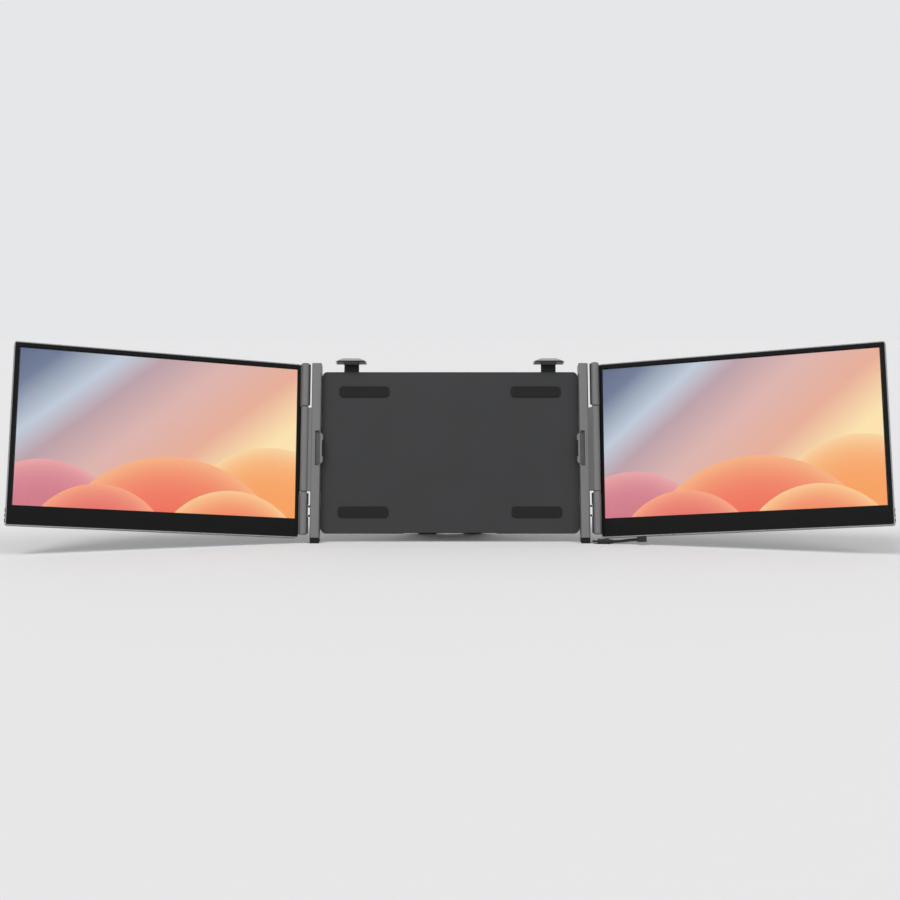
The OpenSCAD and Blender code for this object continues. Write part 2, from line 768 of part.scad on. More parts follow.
rear_shell(-1);  // left_rear_shell
bezel(-1);  // left_bezel
glass(-1);  // left_glass
lcd_panel(-1);  // left_lcd_panel
driver_board(-1);  // left_driver_board
ports(-1);  // left_ports
hinge_leaves(-1);  // left_hinge_leaves
knuckles(-1);  // left_knuckles
button(-1, button_z[0]);  // left_power_button
button(-1, button_z[1]);  // left_minus_button
button(-1, button_z[2]);  // left_plus_button
rear_shell(1);  // right_rear_shell
bezel(1);  // right_bezel
glass(1);  // right_glass
lcd_panel(1);  // right_lcd_panel
driver_board(1);  // right_driver_board
ports(1);  // right_ports
hinge_leaves(1);  // right_hinge_leaves
knuckles(1);  // right_knuckles
button(1, button_z[0]);  // right_power_button
button(1, button_z[1]);  // right_minus_button
button(1, button_z[2]);  // right_plus_button

lead_cable();
lead_plug();
lead_far_plug();
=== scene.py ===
"""Looks of a clamp-on screen extender: a centre frame, two columns and two side screens."""

import json
import logging
import math
from dataclasses import dataclass
from enum import Enum
from typing import Callable, Iterable, Sequence

import bmesh
import bpy
from mathutils import Matrix, Vector


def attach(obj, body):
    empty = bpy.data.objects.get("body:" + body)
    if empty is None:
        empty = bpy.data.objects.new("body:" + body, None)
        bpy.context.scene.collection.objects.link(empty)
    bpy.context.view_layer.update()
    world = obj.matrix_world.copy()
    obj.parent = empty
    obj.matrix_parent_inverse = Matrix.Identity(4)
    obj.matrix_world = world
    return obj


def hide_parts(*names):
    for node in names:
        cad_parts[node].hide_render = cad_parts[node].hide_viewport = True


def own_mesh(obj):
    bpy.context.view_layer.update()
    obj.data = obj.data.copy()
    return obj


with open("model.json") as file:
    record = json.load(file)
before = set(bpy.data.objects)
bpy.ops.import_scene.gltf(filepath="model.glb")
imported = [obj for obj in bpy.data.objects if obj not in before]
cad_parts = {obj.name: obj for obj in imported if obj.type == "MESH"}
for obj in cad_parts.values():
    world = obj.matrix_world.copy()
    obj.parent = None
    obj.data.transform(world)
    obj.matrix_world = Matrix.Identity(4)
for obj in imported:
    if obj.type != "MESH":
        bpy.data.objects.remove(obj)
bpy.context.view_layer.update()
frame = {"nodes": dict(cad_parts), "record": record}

log = logging.getLogger("extender")

MM = 0.001
SMALLEST_TURN = 35.0  # degrees; an edge that turns by more gets a bevel
SAME_PLACE = 2e-6  # metres; corners of a solid this close are one
SAME_PLANE = 0.6  # degrees; faces of a solid this level are one
LINE_SHARE = 40  # a brushed line is this much longer than wide
MIDDLE = (0.3, 0.7)  # the part of a 0 to 1 pattern where most of its values lie
ROUND = 60.0  # degrees; facets of a round piece that turn by less are shaded smooth
Socket = bpy.types.NodeSocket
Thing = bpy.types.Object
Shape = bmesh.types.BMesh
Corner = bmesh.types.BMVert
Pair = tuple[float, float]
Point = tuple[float, float, float]
Colour = tuple[float, float, float]


class Side(Enum):
    """The two halves of the object, with the sign of their X."""

    LEFT = -1
    RIGHT = 1

    @property
    def label(self) -> str:
        """Word used in node, body and piece names."""
        return self.name.lower()


class Key(Enum):
    """Buttons on a screen's outer edge."""

    POWER = "power"
    MINUS = "minus"
    PLUS = "plus"


# ------------------------------------------------------------------ placing


@dataclass(frozen=True)
class Stance:
    """How the leaning object stands: local millimetres of the lid's plane to row metres."""

    lean: float = 15.0
    rise: float = 7.5
    shift: float = 7.660462

    def matrix(self, side: Side | None = None) -> Matrix:
        """Transform from millimetres in the lid's plane to the row frame.

        Args:
            side: half of the object; the left one is mirrored.

        Returns:
            The 4x4 transform.
        """
        tip = Matrix.Rotation(math.radians(-self.lean), 4, "X")
        move = Matrix.Translation((0, self.shift, self.rise))
        made = Matrix.Scale(MM, 4) @ move @ tip
        if side is Side.LEFT:
            made = made @ Matrix.Diagonal((-1, 1, 1, 1))
        return made


STANCE = Stance()


@dataclass(frozen=True)
class ScreenSize:
    """Sizes of one side screen, in millimetres, as the solids have them."""

    side: Side
    lit_w: float = 344.2
    lit_h: float = 193.6
    inner: float = 4.0
    outer: float = 6.0
    chin: float = 24.4
    top: float = 6.0
    thick: float = 8.0
    hinge_x: float = 185.0
    yaw: float = 19.5
    face_plane: float = 4.0
    left_axis: float = 1.7
    right_axis: float = -2.6
    left_gap: float = 5.7

    @property
    def axis_y(self) -> float:
        """Depth of the hinge axis."""
        return self.left_axis if self.side is Side.LEFT else self.right_axis

    @property
    def face(self) -> float:
        """Depth of the front face behind the hinge axis."""
        return self.face_plane - self.axis_y

    @property
    def gap(self) -> float:
        """Distance from the hinge axis to the screen's edge."""
        extra = self.face - (self.face_plane - self.left_axis)
        return self.left_gap - extra * math.tan(math.radians(self.yaw))

    @property
    def width(self) -> float:
        """Whole width of the screen."""
        return self.inner + self.lit_w + self.outer

    @property
    def height(self) -> float:
        """Whole height of the screen."""
        return self.chin + self.lit_h + self.top

    def matrix(self) -> Matrix:
        """Transform from the screen's own millimetres to the row frame.

        Returns:
            The 4x4 transform.
        """
        hinge = Matrix.Translation((self.hinge_x, self.axis_y, 0))
        turn = Matrix.Rotation(math.radians(-self.yaw), 4, "Z")
        return STANCE.matrix(self.side) @ hinge @ turn


# -------------------------------------------------------------------- nodes


class Nodes:
    """A node tree, with short ways to add nodes and to fill their inputs."""

    def __init__(self, tree: bpy.types.NodeTree) -> None:
        """Takes up a node tree and empties it."""
        self.tree = tree
        tree.nodes.clear()

    def add(self, kind: str, **inputs: object) -> bpy.types.Node:
        """Adds a node and fills its inputs.

        Args:
            kind: the node's type.
            inputs: values or sockets by input name, with spaces as underscores.

        Returns:
            The node.
        """
        node = self.tree.nodes.new(kind)
        for name, value in inputs.items():
            self.feed(node.inputs[name.replace("_", " ")], value)
        return node

    def feed(self, socket: Socket, value: object) -> None:
        """Links a socket or writes its value.

        Args:
            socket: the input.
            value: an output or a plain value.
        """
        if isinstance(value, Socket):
            self.tree.links.new(value, socket)
        else:
            socket.default_value = value

    def math(self, kind: str, a: object, b: object = 0.0, clamp: bool = False) -> Socket:
        """One Math node.

        Args:
            kind: its operation.
            a: first value or socket.
            b: second value or socket.
            clamp: keep the result between 0 and 1.

        Returns:
            The value output.
        """
        node = self.tree.nodes.new("ShaderNodeMath")
        node.operation = kind
        node.use_clamp = clamp
        for socket, value in zip(node.inputs, (a, b)):
            self.feed(socket, value)
        return node.outputs[0]


# ----------------------------------------------------------------- materials


class Graph(Nodes):
    """Shader nodes of one material, round a Principled shader."""

    def __init__(self, name: str) -> None:
        """Makes an empty material with its output and a Principled shader.

        Args:
            name: the material's name.
        """
        self.material = bpy.data.materials.new(name)
        self.material.use_nodes = True
        super().__init__(self.material.node_tree)
        self.shader = self.add("ShaderNodeBsdfPrincipled")
        self.add("ShaderNodeOutputMaterial", Surface=self.shader.outputs[0])
        self.object = self.add("ShaderNodeTexCoord").outputs["Object"]

    def set(self, **values: object) -> None:
        """Feeds the Principled shader's own sockets.

        Args:
            values: values or sockets by input name, with spaces written as underscores.
        """
        for name, value in values.items():
            socket = name.replace("_", " ").title().replace("Ior", "IOR")
            self.feed(self.shader.inputs[socket], value)

    def noise(
        self, scale: float, detail: float = 3.0, rough: float = 0.5, stretch: Point = (1, 1, 1)
    ) -> Socket:
        """A noise value on Object coordinates.

        Args:
            scale: waves for each metre.
            detail: octaves.
            rough: weight of the finer octaves.
            stretch: stretch of the pattern on each axis.

        Returns:
            The factor output.
        """
        place = self.add("ShaderNodeMapping", Vector=self.object, Scale=stretch).outputs[0]
        node = self.add("ShaderNodeTexNoise", Vector=place, Scale=scale, Detail=detail, Roughness=rough)
        return node.outputs["Fac"]

    def cells(self, scale: float) -> Socket:
        """Distance to the nearest cell centre, on Object coordinates."""
        node = self.add("ShaderNodeTexVoronoi", Vector=self.object, Scale=scale)
        return node.outputs["Distance"]

    def ramp(self, value: Socket, stops: Iterable[tuple[float, Colour]]) -> Socket:
        """A colour ramp over a value.

        Args:
            value: the factor.
            stops: places and their colours, two or more.

        Returns:
            The colour output.
        """
        node = self.add("ShaderNodeValToRGB", Fac=value)
        points = node.color_ramp.elements
        for i, (at, colour) in enumerate(stops):
            point = points[i] if i < 2 else points.new(at)
            point.position = at
            point.color = (*colour, 1)
        return node.outputs["Color"]

    def mapped(
        self, value: Socket, start: Pair, end: Pair = (0.0, 1.0), kind: str = "LINEAR"
    ) -> Socket:
        """A Map Range node.

        Args:
            value: what goes in.
            start: the range that it has.
            end: the range that it gets.
            kind: how it runs from one end to the other.

        Returns:
            The result.
        """
        node = self.add("ShaderNodeMapRange", Value=value, From_Min=start[0], From_Max=start[1])
        node.interpolation_type = kind
        self.feed(node.inputs["To Min"], end[0])
        self.feed(node.inputs["To Max"], end[1])
        return node.outputs["Result"]

    def tone(self, value: Socket, colour: Colour, shades: Pair, stops: Pair = MIDDLE) -> None:
        """Base colour that runs from one shade of a colour to another.

        Args:
            value: the factor.
            colour: the colour.
            shades: its brightness at each stop.
            stops: places on the factor.
        """
        pairs = [(at, shade(colour, factor)) for at, factor in zip(stops, shades)]
        self.set(base_color=self.ramp(value, pairs))

    def gloss(self, value: Socket, low: float, high: float) -> None:
        """Roughness from low to high over the middle of a 0 to 1 value."""
        self.set(roughness=self.mapped(value, MIDDLE, (low, high)))

    def bump(self, *heights: tuple[Socket, float]) -> None:
        """Bumps one after the other into the shader's normal.

        Args:
            heights: height values and how deep each is, in metres.
        """
        for value, depth in heights:
            below = self.shader.inputs["Normal"].links
            node = self.add("ShaderNodeBump", Strength=1.0, Distance=depth, Height=value)
            if below:
                self.feed(node.inputs["Normal"], below[0].from_socket)
            self.set(normal=node.outputs[0])


def shade(colour: Colour, factor: float) -> Colour:
    """A colour made lighter or darker."""
    return tuple(min(1.0, c * factor) for c in colour)


@dataclass(frozen=True)
class Anodised:
    """Bead-blasted and anodised aluminium."""

    name: str
    colour: Colour
    rough: float = 0.42
    metal: float = 0.85
    streak: Point = (1, 1, 1)

    def material(self) -> bpy.types.Material:
        """Satin metal with fine blasting grain and faint cloudy patches.

        Returns:
            The material.
        """
        g = Graph(self.name)
        cloud = g.noise(24.0, 4.0, 0.55, self.streak)
        g.tone(cloud, self.colour, (0.97, 1.03))
        g.set(metallic=self.metal)
        g.gloss(g.noise(60.0, 5.0, 0.6), self.rough - 0.03, self.rough + 0.04)
        g.bump((g.noise(5200.0, 2.0, 0.6), 0.000012), (g.cells(2600.0), 0.000006))
        return g.material


@dataclass(frozen=True)
class Brushed:
    """Metal brushed or drawn along one direction."""

    name: str
    colour: Colour
    rough: float = 0.3
    lines: Point = (1, 40, 40)
    depth: float = 0.00001

    def material(self) -> bpy.types.Material:
        """Bright metal with long fine scratches.

        Returns:
            The material.
        """
        g = Graph(self.name)
        fine = g.noise(900.0, 3.0, 0.7, tuple(v / LINE_SHARE for v in self.lines))
        g.tone(fine, self.colour, (0.85, 1.12), (0.3, 0.72))
        g.set(metallic=1.0)
        g.gloss(fine, self.rough - 0.06, self.rough + 0.1)
        g.bump((fine, self.depth))
        return g.material


@dataclass(frozen=True)
class Moulded:
    """Injection-moulded plastic with a spark-eroded texture."""

    name: str
    colour: Colour
    rough: float = 0.5
    grain: float = 2200.0
    depth: float = 0.00002
    gloss: float = 0.4

    def material(self) -> bpy.types.Material:
        """Plastic with a leathery micro texture and slightly polished patches.

        Returns:
            The material.
        """
        g = Graph(self.name)
        patch = g.noise(30.0, 3.0, 0.5)
        g.tone(patch, self.colour, (0.9, 1.12))
        g.set(specular_ior_level=self.gloss)
        g.gloss(patch, self.rough - 0.04, self.rough + 0.06)
        fine = g.noise(self.grain * 2.3, 2.0)
        g.bump((g.cells(self.grain), self.depth), (fine, self.depth / 2))
        return g.material


@dataclass(frozen=True)
class Rubber:
    """Soft dark rubber with dust in its grain."""

    name: str
    colour: Colour
    rough: float = 0.78

    def material(self) -> bpy.types.Material:
        """Matt rubber, a little paler where dust has settled.

        Returns:
            The material.
        """
        g = Graph(self.name)
        dust = g.noise(130.0, 6.0, 0.7)
        g.tone(dust, self.colour, (1.0, 2.2), (0.35, 0.8))
        g.gloss(dust, self.rough - 0.06, self.rough + 0.08)
        g.set(specular_ior_level=0.3)
        g.bump((g.noise(3000.0, 3.0, 0.6), 0.00003))
        return g.material


@dataclass(frozen=True)
class PowderCoat:
    """Powder coat on steel, with the fine orange peel that it sets with."""

    name: str
    colour: Colour
    rough: float = 0.5

    def material(self) -> bpy.types.Material:
        """Dark matt coat with two sizes of peel.

        Returns:
            The material.
        """
        g = Graph(self.name)
        patch = g.noise(16.0, 4.0, 0.5)
        g.tone(patch, self.colour, (0.92, 1.1))
        g.gloss(patch, self.rough - 0.04, self.rough + 0.05)
        g.bump((g.noise(1500.0, 2.0, 0.5), 0.00004), (g.cells(3100.0), 0.000015))
        return g.material


@dataclass(frozen=True)
class SolderMask:
    """Printed circuit board."""

    name: str
    colour: Colour

    def material(self) -> bpy.types.Material:
        """Green lacquer with paler copper tracks under it.

        Returns:
            The material.
        """
        g = Graph(self.name)
        wave = g.add("ShaderNodeTexWave", Vector=g.object, Scale=260.0, Distortion=6.0)
        wave.inputs["Detail Scale"].default_value = 3.0
        tracks = wave.outputs["Fac"]
        g.tone(tracks, self.colour, (1.0, 2.1), (0.55, 0.62))
        g.gloss(g.noise(200.0), 0.25, 0.36)
        g.bump((tracks, 0.00002))
        return g.material


@dataclass(frozen=True)
class ClearGlass:
    """Cover glass with an anti-glare coat."""

    name: str
    tint: Colour

    def material(self) -> bpy.types.Material:
        """Clear glass, faintly uneven like a coated sheet.

        Returns:
            The material.
        """
        g = Graph(self.name)
        veil = g.noise(9.0, 2.0, 0.5)
        g.tone(veil, self.tint, (0.995, 1.0))
        g.set(transmission_weight=1.0, ior=1.3, specular_ior_level=0.3)
        g.gloss(veil, 0.1, 0.13)
        return g.material


@dataclass(frozen=True)
class Disc:
    """One soft disc of the lit picture: centre, radius and colours."""

    x: float
    y: float
    radius: float
    rim: Colour
    core: Colour
    cover: float = 0.9


@dataclass(frozen=True)
class LitPicture:
    """A plain generated picture: a slanting colour fade behind large overlapping discs."""

    name: str
    aspect: float
    discs: tuple[Disc, ...]
    fade: tuple[tuple[float, Colour], ...]
    slant: Point = (0.42, -0.5, 0.5)  # of the fade: across, up and start
    blur: float = 0.004  # of a disc's edge, in radii
    glow: float = 5.0  # power with which a disc runs to its rim's colour
    fall: Pair = (-0.55, 0.75)  # where a disc starts and ends to fade, in radii

    def material(self) -> bpy.types.Material:
        """The lit layer, which gives its own light.

        Returns:
            The material.
        """
        g = Graph(self.name)
        uv = g.add("ShaderNodeUVMap")
        uv.uv_map = "picture"
        split = g.add("ShaderNodeSeparateXYZ", Vector=uv.outputs["UV"]).outputs
        across, up = g.math("MULTIPLY", split["X"], self.aspect), split["Y"]
        x, y, start = self.slant
        slant = g.math("ADD", g.math("MULTIPLY", across, x), g.math("MULTIPLY", up, y))
        picture = g.ramp(g.math("ADD", slant, start), self.fade)
        for disc in self.discs:
            dx = g.math("SUBTRACT", across, disc.x)
            dy = g.math("SUBTRACT", up, disc.y)
            square = g.math("ADD", g.math("MULTIPLY", dx, dx), g.math("MULTIPLY", dy, dy))
            reach = g.math("DIVIDE", g.math("SQRT", square), disc.radius)
            inside = g.mapped(reach, (1 + self.blur, 1 - self.blur), kind="SMOOTHSTEP")
            glow = g.math("POWER", reach, self.glow, clamp=True)
            body = g.ramp(glow, [(0.0, disc.core), (1.0, disc.rim)])
            low, high = (disc.radius * share for share in self.fall)
            fall = g.mapped(dy, (low, high), kind="SMOOTHSTEP")
            cover = g.math("MULTIPLY", inside, g.math("MULTIPLY_ADD", fall, disc.cover))
            mix = g.add("ShaderNodeMix")
            mix.data_type = "RGBA"
            mix.clamp_factor = True
            for socket, value in (("Factor", cover), ("A", picture), ("B", body)):
                g.feed(mix.inputs[socket], value)
            picture = mix.outputs["Result"]
        g.set(emission_color=picture, emission_strength=1.0)
        g.set(base_color=(0.01, 0.01, 0.012, 1), roughness=0.6)
        return g.material


class Finishes:
    """Every finish of the object, by the record's slot, with a few of the scene's own."""

    def __init__(self) -> None:
        """Makes all the materials once."""
        pale, coral, amber = (0.95, 0.66, 0.33), (0.86, 0.12, 0.06), (0.94, 0.33, 0.08)
        discs = (
            Disc(0.18, -0.22, 0.52, (0.82, 0.36, 0.36), (0.62, 0.16, 0.22), 0.75),
            Disc(1.62, -0.12, 0.58, pale, amber, 0.85),
            Disc(0.98, -0.42, 0.78, (0.93, 0.43, 0.20), coral, 0.85),
            Disc(0.52, -0.30, 0.46, (0.93, 0.36, 0.20), (0.78, 0.12, 0.10), 0.9),
            Disc(1.36, -0.34, 0.50, (0.96, 0.58, 0.26), (0.88, 0.17, 0.07), 0.9),
        )
        fade = (
            (0.0, (0.085, 0.12, 0.215)),
            (0.11, (0.13, 0.168, 0.273)),
            (0.27, (0.51, 0.58, 0.675)),
            (0.38, (0.48, 0.33, 0.37)),
            (0.56, (0.72, 0.44, 0.40)),
            (0.76, (0.80, 0.40, 0.28)),
            (0.94, (0.98, 0.76, 0.40)),
        )
        kinds = [
            PowderCoat("panel_steel", (0.018, 0.0185, 0.02)),
            Anodised("cover_aluminium", (0.065, 0.068, 0.072), 0.46),
            Anodised("column_aluminium", (0.198, 0.198, 0.199), 0.4, 0.45, (3, 3, 0.4)),
            Anodised("screen_shell_aluminium", (0.16, 0.165, 0.172), 0.38),
            Brushed("rail_steel", (0.4, 0.41, 0.42), 0.3, (1, 40, 40)),
            Brushed("pin_steel", (0.46, 0.47, 0.49), 0.18, (40, 40, 4)),
            Brushed("leaf_steel", (0.33, 0.34, 0.35), 0.36, (4, 40, 40)),
            Brushed("spring_steel", (0.46, 0.47, 0.49), 0.25, (40, 40, 40)),
            PowderCoat("screw_steel", (0.05, 0.05, 0.055), 0.36),
            Rubber("rubber_black", (0.008, 0.008, 0.008)),
            Moulded("guide_plastic", (0.68, 0.68, 0.65), 0.45, 900.0),
            Moulded("jaw_plastic", (0.075, 0.075, 0.077), 0.44, 2600.0),
            Moulded("hook_plastic", (0.012, 0.013, 0.014), 0.46, 2400.0),
            Brushed("cap_metal", (0.44, 0.442, 0.446), 0.36, (2, 40, 40)),
            Moulded("bezel_plastic", (0.0055, 0.0057, 0.006), 0.5, 3000.0, 0.000012, 0.12),
            ClearGlass("screen_glass", (0.97, 0.97, 0.975)),
            Moulded("lcd_module", (0.02, 0.02, 0.022), 0.4, 500.0),
            SolderMask("circuit_board", (0.03, 0.14, 0.05)),
            Brushed("port_metal", (0.55, 0.56, 0.57), 0.2, (20, 20, 20)),
            Moulded("button_plastic", (0.024, 0.025, 0.027), 0.42, 2600.0),
            Rubber("lead_sheath", (0.009, 0.009, 0.009), 0.55),
            Moulded("plug_plastic", (0.011, 0.011, 0.012), 0.4, 2000.0),
            Brushed("cut_edge", (0.36, 0.362, 0.366), 0.3, (20, 20, 20), 0.000004),
            LitPicture("lit_picture", ScreenSize.lit_w / ScreenSize.lit_h, discs, fade),
        ]
        self._made = {kind.name: kind.material() for kind in kinds}

    def __getitem__(self, slot: str) -> bpy.types.Material:
        """The material of a slot."""
        return self._made[slot]


# ------------------------------------------------------------------- meshes


def mesh_from(bm: Shape, name: str, matrix: Matrix | None = None) -> Thing:
    """Turns a bmesh into an object at the origin, with its faces pointing outwards.

    Args:
        bm: the shape, freed here.
        name: the object's name.
        matrix: transform that is put into the mesh.

    Returns:
        The linked object.
    """
    if matrix is not None:
        bm.transform(matrix)
        if matrix.determinant() < 0:
            bmesh.ops.reverse_faces(bm, faces=bm.faces)
    mesh = bpy.data.meshes.new(name)
    bm.to_mesh(mesh)
    bm.free()
    made = bpy.data.objects.new(name, mesh)
    bpy.context.scene.collection.objects.link(made)
    return made


def soften(obj: Thing, angle: float = 50.0) -> Thing:
    """Smooth shading with sharp edges, and large faces kept flat.

    Args:
        obj: the object.
        angle: smallest turn of a sharp edge, in degrees.

    Returns:
        The object.
    """
    obj.data.polygons.foreach_set("use_smooth", [True] * len(obj.data.polygons))
    obj.data.set_sharp_from_angle(angle=math.radians(angle))
    modifier = obj.modifiers.new("even", "WEIGHTED_NORMAL")
    modifier.keep_sharp = True
    return baked(obj, modifier)


def baked(obj: Thing, modifier: bpy.types.Modifier) -> Thing:
    """Puts what a modifier makes into the object's mesh, and removes the modifier.

    Args:
        obj: the object.
        modifier: its only modifier.

    Returns:
        The object.
    """
    seen = obj.evaluated_get(bpy.context.evaluated_depsgraph_get())
    mesh = bpy.data.meshes.new_from_object(seen)
    mesh.name = obj.name
    obj.modifiers.remove(modifier)
    obj.data = mesh
    return obj


def chamfer(bm: Shape, width: float, segments: int = 2, index: int = 0) -> None:
    """Bevels the edges of a mesh that turn by more than the smallest turn.

    Args:
        bm: the mesh.
        width: width of the bevel, in the mesh's units.
        segments: steps of the bevel.
        index: material index of the new faces.
    """
    limit = math.radians(SMALLEST_TURN)
    edges = [e for e in bm.edges if len(e.link_faces) == 2 and e.calc_face_angle(0.0) > limit]
    bmesh.ops.bevel(
        bm,
        geom=edges,
        offset=width,
        offset_type="OFFSET",
        segments=segments,
        profile=0.5,
        affect="EDGES",
        clamp_overlap=True,
        material=index,
    )


def block(lo: Point, hi: Point, width: float, segments: int = 2) -> Shape:
    """A bevelled block between two corners.

    Args:
        lo: lowest corner.
        hi: highest corner.
        width: width of the bevel.
        segments: steps of the bevel.

    Returns:
        The mesh.
    """
    bm = bmesh.new()
    bmesh.ops.create_cube(bm, size=1.0)
    size = [b - a for a, b in zip(lo, hi)]
    middle = [(a + b) / 2 for a, b in zip(lo, hi)]
    bm.transform(Matrix.Translation(middle) @ Matrix.Diagonal((*size, 1)))
    chamfer(bm, width, segments)
    return bm


def bridge(bm: Shape, rings: Sequence[Sequence[Corner]]) -> None:
    """Closes each ring of corners to the next one with a band of faces.

    Args:
        bm: the mesh.
        rings: the rings, with as many corners each.
    """
    for a, b in zip(rings, rings[1:]):
        for k in range(len(a)):
            n = (k + 1) % len(a)
            bm.faces.new((a[k], a[n], b[n], b[k]))


def ring(bm: Shape, sides: int, corner: Callable[[float], Sequence[float]]) -> list[Corner]:
    """Corners round an axis, each placed by its angle."""
    return [bm.verts.new(corner(2 * math.pi * k / sides)) for k in range(sides)]


def cap(bm: Shape, rings: Sequence[Sequence[Corner]]) -> None:
    """Joins rings of corners into a closed body.

    Args:
        bm: the mesh.
        rings: the rings, with as many corners each.
    """
    bridge(bm, rings)
    bm.faces.new(list(reversed(rings[0])))
    bm.faces.new(rings[-1])


def turned(profile: Sequence[Pair], sides: int) -> Shape:
    """A closed body turned about Z from its outline.

    Args:
        profile: radius and height pairs from the lower to the upper pole, both poles at radius 0.
        sides: facets round the axis.

    Returns:
        The mesh.
    """
    bm = bmesh.new()
    rings = [
        ring(bm, sides, lambda a: (radius * math.cos(a), radius * math.sin(a), height))
        for radius, height in profile[1:-1]
    ]
    low = bm.verts.new((0, 0, profile[0][1]))
    high = bm.verts.new((0, 0, profile[-1][1]))
    for k in range(sides):
        n = (k + 1) % sides
        bm.faces.new((low, rings[0][n], rings[0][k]))
        bm.faces.new((high, rings[-1][k], rings[-1][n]))
    bridge(bm, rings)
    return bm


def facing_back() -> Matrix:
    """Turns a body made along +Z so that it points to the back, +Y."""
    return Matrix.Rotation(math.radians(-90), 4, "X")


def settle(obj: Thing, matrix: Matrix) -> Thing:
    """Puts a transform into a mesh, and turns its faces if it mirrors.

    Args:
        obj: the object.
        matrix: the transform.

    Returns:
        The object.
    """
    obj.data.transform(matrix)
    if matrix.determinant() < 0:
        obj.data.flip_normals()
    return obj


def joined(parts: Sequence[Thing | Shape], name: str) -> Thing:
    """One object from several shapes, which are removed.

    Args:
        parts: mesh objects at the origin, or meshes that are still being built.
        name: the new object's name.

    Returns:
        The new object.
    """
    bm = bmesh.new()
    for part in parts:
        if isinstance(part, Shape):
            part = mesh_from(part, "part")
        bm.from_mesh(part.data)
        bpy.data.objects.remove(part)
    return mesh_from(bm, name)


def carved(obj: Thing, cutter: Thing) -> Thing:
    """Takes one closed shape out of another.

    Args:
        obj: the object that is cut, with its new mesh afterwards.
        cutter: the shape to take out, which is removed.

    Returns:
        The cut object.
    """
    modifier = obj.modifiers.new("carve", "BOOLEAN")
    modifier.operation = "DIFFERENCE"
    modifier.solver = "EXACT"
    modifier.object = cutter
    baked(obj, modifier)
    bpy.data.objects.remove(cutter)
    return obj


def screw_head(radius: float, height: float) -> Shape:
    """A low round screw head with a hexagon socket, standing proud towards +Y.

    Args:
        radius: outer radius in millimetres.
        height: height above the surface.

    Returns:
        The mesh.
    """
    sides, sixth = 24, math.pi / 6

    def corner(a: float) -> Point:
        """A corner of the ring that is being made.

        Args:
            a: its angle.

        Returns:
            Its place.
        """
        turn = (a + sixth) % (2 * sixth) - sixth
        reach = radius * share * (math.cos(sixth) / math.cos(turn) if hexagon else 1)
        return reach * math.cos(a), reach * math.sin(a), height * up

    bm = bmesh.new()
    rings = []
    for share, up, hexagon in (
        (1.0, 0.0, False), (1.0, 0.6, False), (0.86, 1.0, False), (0.46, 1.0, True), (0.46, 0.35, True)
    ):
        rings.append(ring(bm, sides, corner))
    cap(bm, rings)
    bm.transform(facing_back())
    return bm


def tube(
    name: str, line: Sequence[Vector], radius: float, sides: int, ends: tuple[Vector, Vector]
) -> Thing:
    """A closed tube along a line of points.

    Args:
        name: the object's name.
        line: the middle line.
        radius: the tube's radius.
        sides: facets round the tube.
        ends: directions in which the two ends face.

    Returns:
        The linked object.
    """
    bm = bmesh.new()
    rings = []
    for i, point in enumerate(line):
        if 0 < i < len(line) - 1:
            way = (line[i + 1] - line[i - 1]).normalized()
        else:
            way = ends[0 if i == 0 else 1].normalized()
        across = way.cross(Vector((0, 0, 1))).normalized()
        up = across.cross(way)
        rings.append(
            ring(bm, sides, lambda a: point + radius * (math.cos(a) * across + math.sin(a) * up))
        )
    cap(bm, rings)
    bmesh.ops.recalc_face_normals(bm, faces=bm.faces)
    return mesh_from(bm, name)


# ------------------------------------------------------------ geometry nodes


class Tree(Nodes):
    """A Geometry Nodes tree built in code, and its use on one mesh."""

    def __init__(self, name: str, sizes: dict[str, str]) -> None:
        """Makes the tree with its named inputs.

        Args:
            name: the tree's name.
            sizes: input names and their kinds: Int or Float.
        """
        super().__init__(bpy.data.node_groups.new(name, "GeometryNodeTree"))
        face = self.tree.interface
        face.new_socket("Geometry", in_out="OUTPUT", socket_type="NodeSocketGeometry")
        for label, kind in {"Geometry": "Geometry", **sizes, "Finish": "Material"}.items():
            face.new_socket(label, in_out="INPUT", socket_type=f"NodeSocket{kind}")
        self.given = self.add("NodeGroupInput").outputs
        self.result = self.add("NodeGroupOutput").inputs[0]

    def vector(self, x: object = 0.0, y: object = 0.0, z: object = 0.0) -> Socket:
        """A vector put together from three values."""
        return self.add("ShaderNodeCombineXYZ", X=x, Y=y, Z=z).outputs[0]

    def close(self, geometry: Socket) -> None:
        """Ends the tree in Realize Instances and Set Material.

        Args:
            geometry: what the tree makes.
        """
        real = self.add("GeometryNodeRealizeInstances", Geometry=geometry)
        dressed = self.add(
            "GeometryNodeSetMaterial", Geometry=real.outputs[0], Material=self.given["Finish"]
        )
        self.feed(self.result, dressed.outputs[0])

    def run(self, shape: Shape, name: str, **values: object) -> Thing:
        """Runs the tree on a shape and bakes what it makes into a plain mesh.

        Args:
            shape: the mesh that goes in, freed here.
            name: name of the new object.
            values: the tree's inputs, with spaces as underscores.

        Returns:
            The new object.
        """
        made = mesh_from(shape, name)
        modifier = made.modifiers.new("tree", "NODES")
        modifier.node_group = self.tree
        sockets = self.tree.interface.items_tree
        known = {i.name: i.identifier for i in sockets if i.in_out == "INPUT"}
        for label, value in values.items():
            modifier[known[label.replace("_", " ")]] = value
        made.update_tag()
        return baked(made, modifier)


